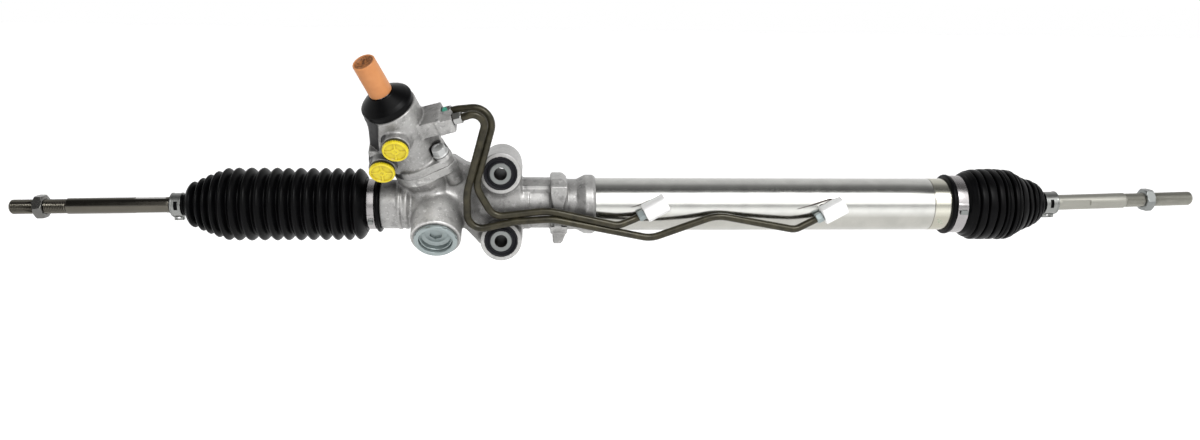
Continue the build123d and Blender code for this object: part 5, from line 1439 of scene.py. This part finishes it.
light_ramp([(-180, 1.0), (-12, 1.0), (0, 0.60), (8, 0.60), (12, 0.9), (14, 2.1), (60, 2.1), (63, 0.07), (78, 0.08), (100, 0.26), (118, 0.68),
            (140, 0.80), (160, 0.85), (172, 1.05), (180, 1.05)], cr)
cr2 = nt.nodes.new("ShaderNodeValToRGB")
nt.links.new(mr.outputs["Result"], cr2.inputs["Fac"])
light_ramp([(-180, 1.0), (-12, 1.0), (0, 0.85), (8, 0.8), (14, 0.10), (60, 0.07), (100, 0.10), (125, 0.5), (140, 0.80), (172, 1.05), (180, 1.05)], cr2)


def wmath(op, a_, b_=None, clamp=False):
    n_ = nt.nodes.new("ShaderNodeMath")
    n_.operation, n_.use_clamp = op, clamp
    for k_, v_ in enumerate((a_, b_)):
        if v_ is None:
            continue
        if isinstance(v_, (int, float)):
            n_.inputs[k_].default_value = v_
        else:
            nt.links.new(v_, n_.inputs[k_])
    return n_.outputs[0]


def wmix(fac, a_, b_):
    n_ = nt.nodes.new("ShaderNodeMix")
    n_.data_type = "RGBA"
    nt.links.new(fac, n_.inputs[0])
    for k_, v_ in ((6, a_), (7, b_)):
        if isinstance(v_, tuple):
            n_.inputs[k_].default_value = v_
        else:
            nt.links.new(v_, n_.inputs[k_])
    return n_.outputs[2]


# the soft box does not reach the far left; both ends of the row axis see plain pale walls
toright = wmath("DIVIDE", wmath("ADD", sep.outputs["X"], 0.36), 0.13, True)
c_env = wmix(toright, cr2.outputs["Color"], cr.outputs["Color"])
ends = wmath("DIVIDE", wmath("SUBTRACT", wmath("ABSOLUTE", sep.outputs["X"]), 0.72), 0.14, True)
pale = 1.0 / 2.5
c_env = wmix(ends, c_env, (pale, pale, pale, 1))
nt.links.new(c_env, bg.inputs["Color"])
bg.inputs["Strength"].default_value = 2.5


def area(name, loc, target, size, power, size_y=None):
    li = bpy.data.lights.new(name, "AREA")
    li.energy = power
    li.size = size
    if size_y:
        li.shape = "RECTANGLE"
        li.size_y = size_y
    ob = bpy.data.objects.new(name, li)
    bpy.context.scene.collection.objects.link(ob)
    ob.location = loc
    ob.rotation_mode = "QUATERNION"
    ob.rotation_quaternion = (Vector(target) - Vector(loc)).to_track_quat("-Z", "Y")
    return ob


area("key", (0.75, -1.5, 1.5), (0.0, 0, 0), 0.6, 22.0)

cam_d = bpy.data.cameras.new("camera")
cam = bpy.data.objects.new("camera", cam_d)
bpy.context.scene.collection.objects.link(cam)
cam_d.sensor_width = 36.0
cam_d.lens = 965.0 / 1200.0 * 36.0
cam_d.clip_start, cam_d.clip_end = 0.05, 60.0
a, e, r = math.radians(-4.0), math.radians(13.0), math.radians(0.837)
back = Vector((math.sin(a) * math.cos(e), -math.cos(a) * math.cos(e), math.sin(e)))
right = Vector((math.cos(a), math.sin(a), 0.0))
upv = back.cross(right)
rr_, uu = right * math.cos(r) + upv * math.sin(r), -right * math.sin(r) + upv * math.cos(r)
m4 = Matrix((rr_, uu, back)).transposed().to_4x4()
m4.translation = Vector((32.162, -941.568, 198.486)) * MM
cam.matrix_world = m4
bpy.context.scene.camera = cam

sc = bpy.context.scene
sc.view_settings.view_transform = "Standard"
sc.view_settings.look = "None"
sc.view_settings.exposure = 0.0
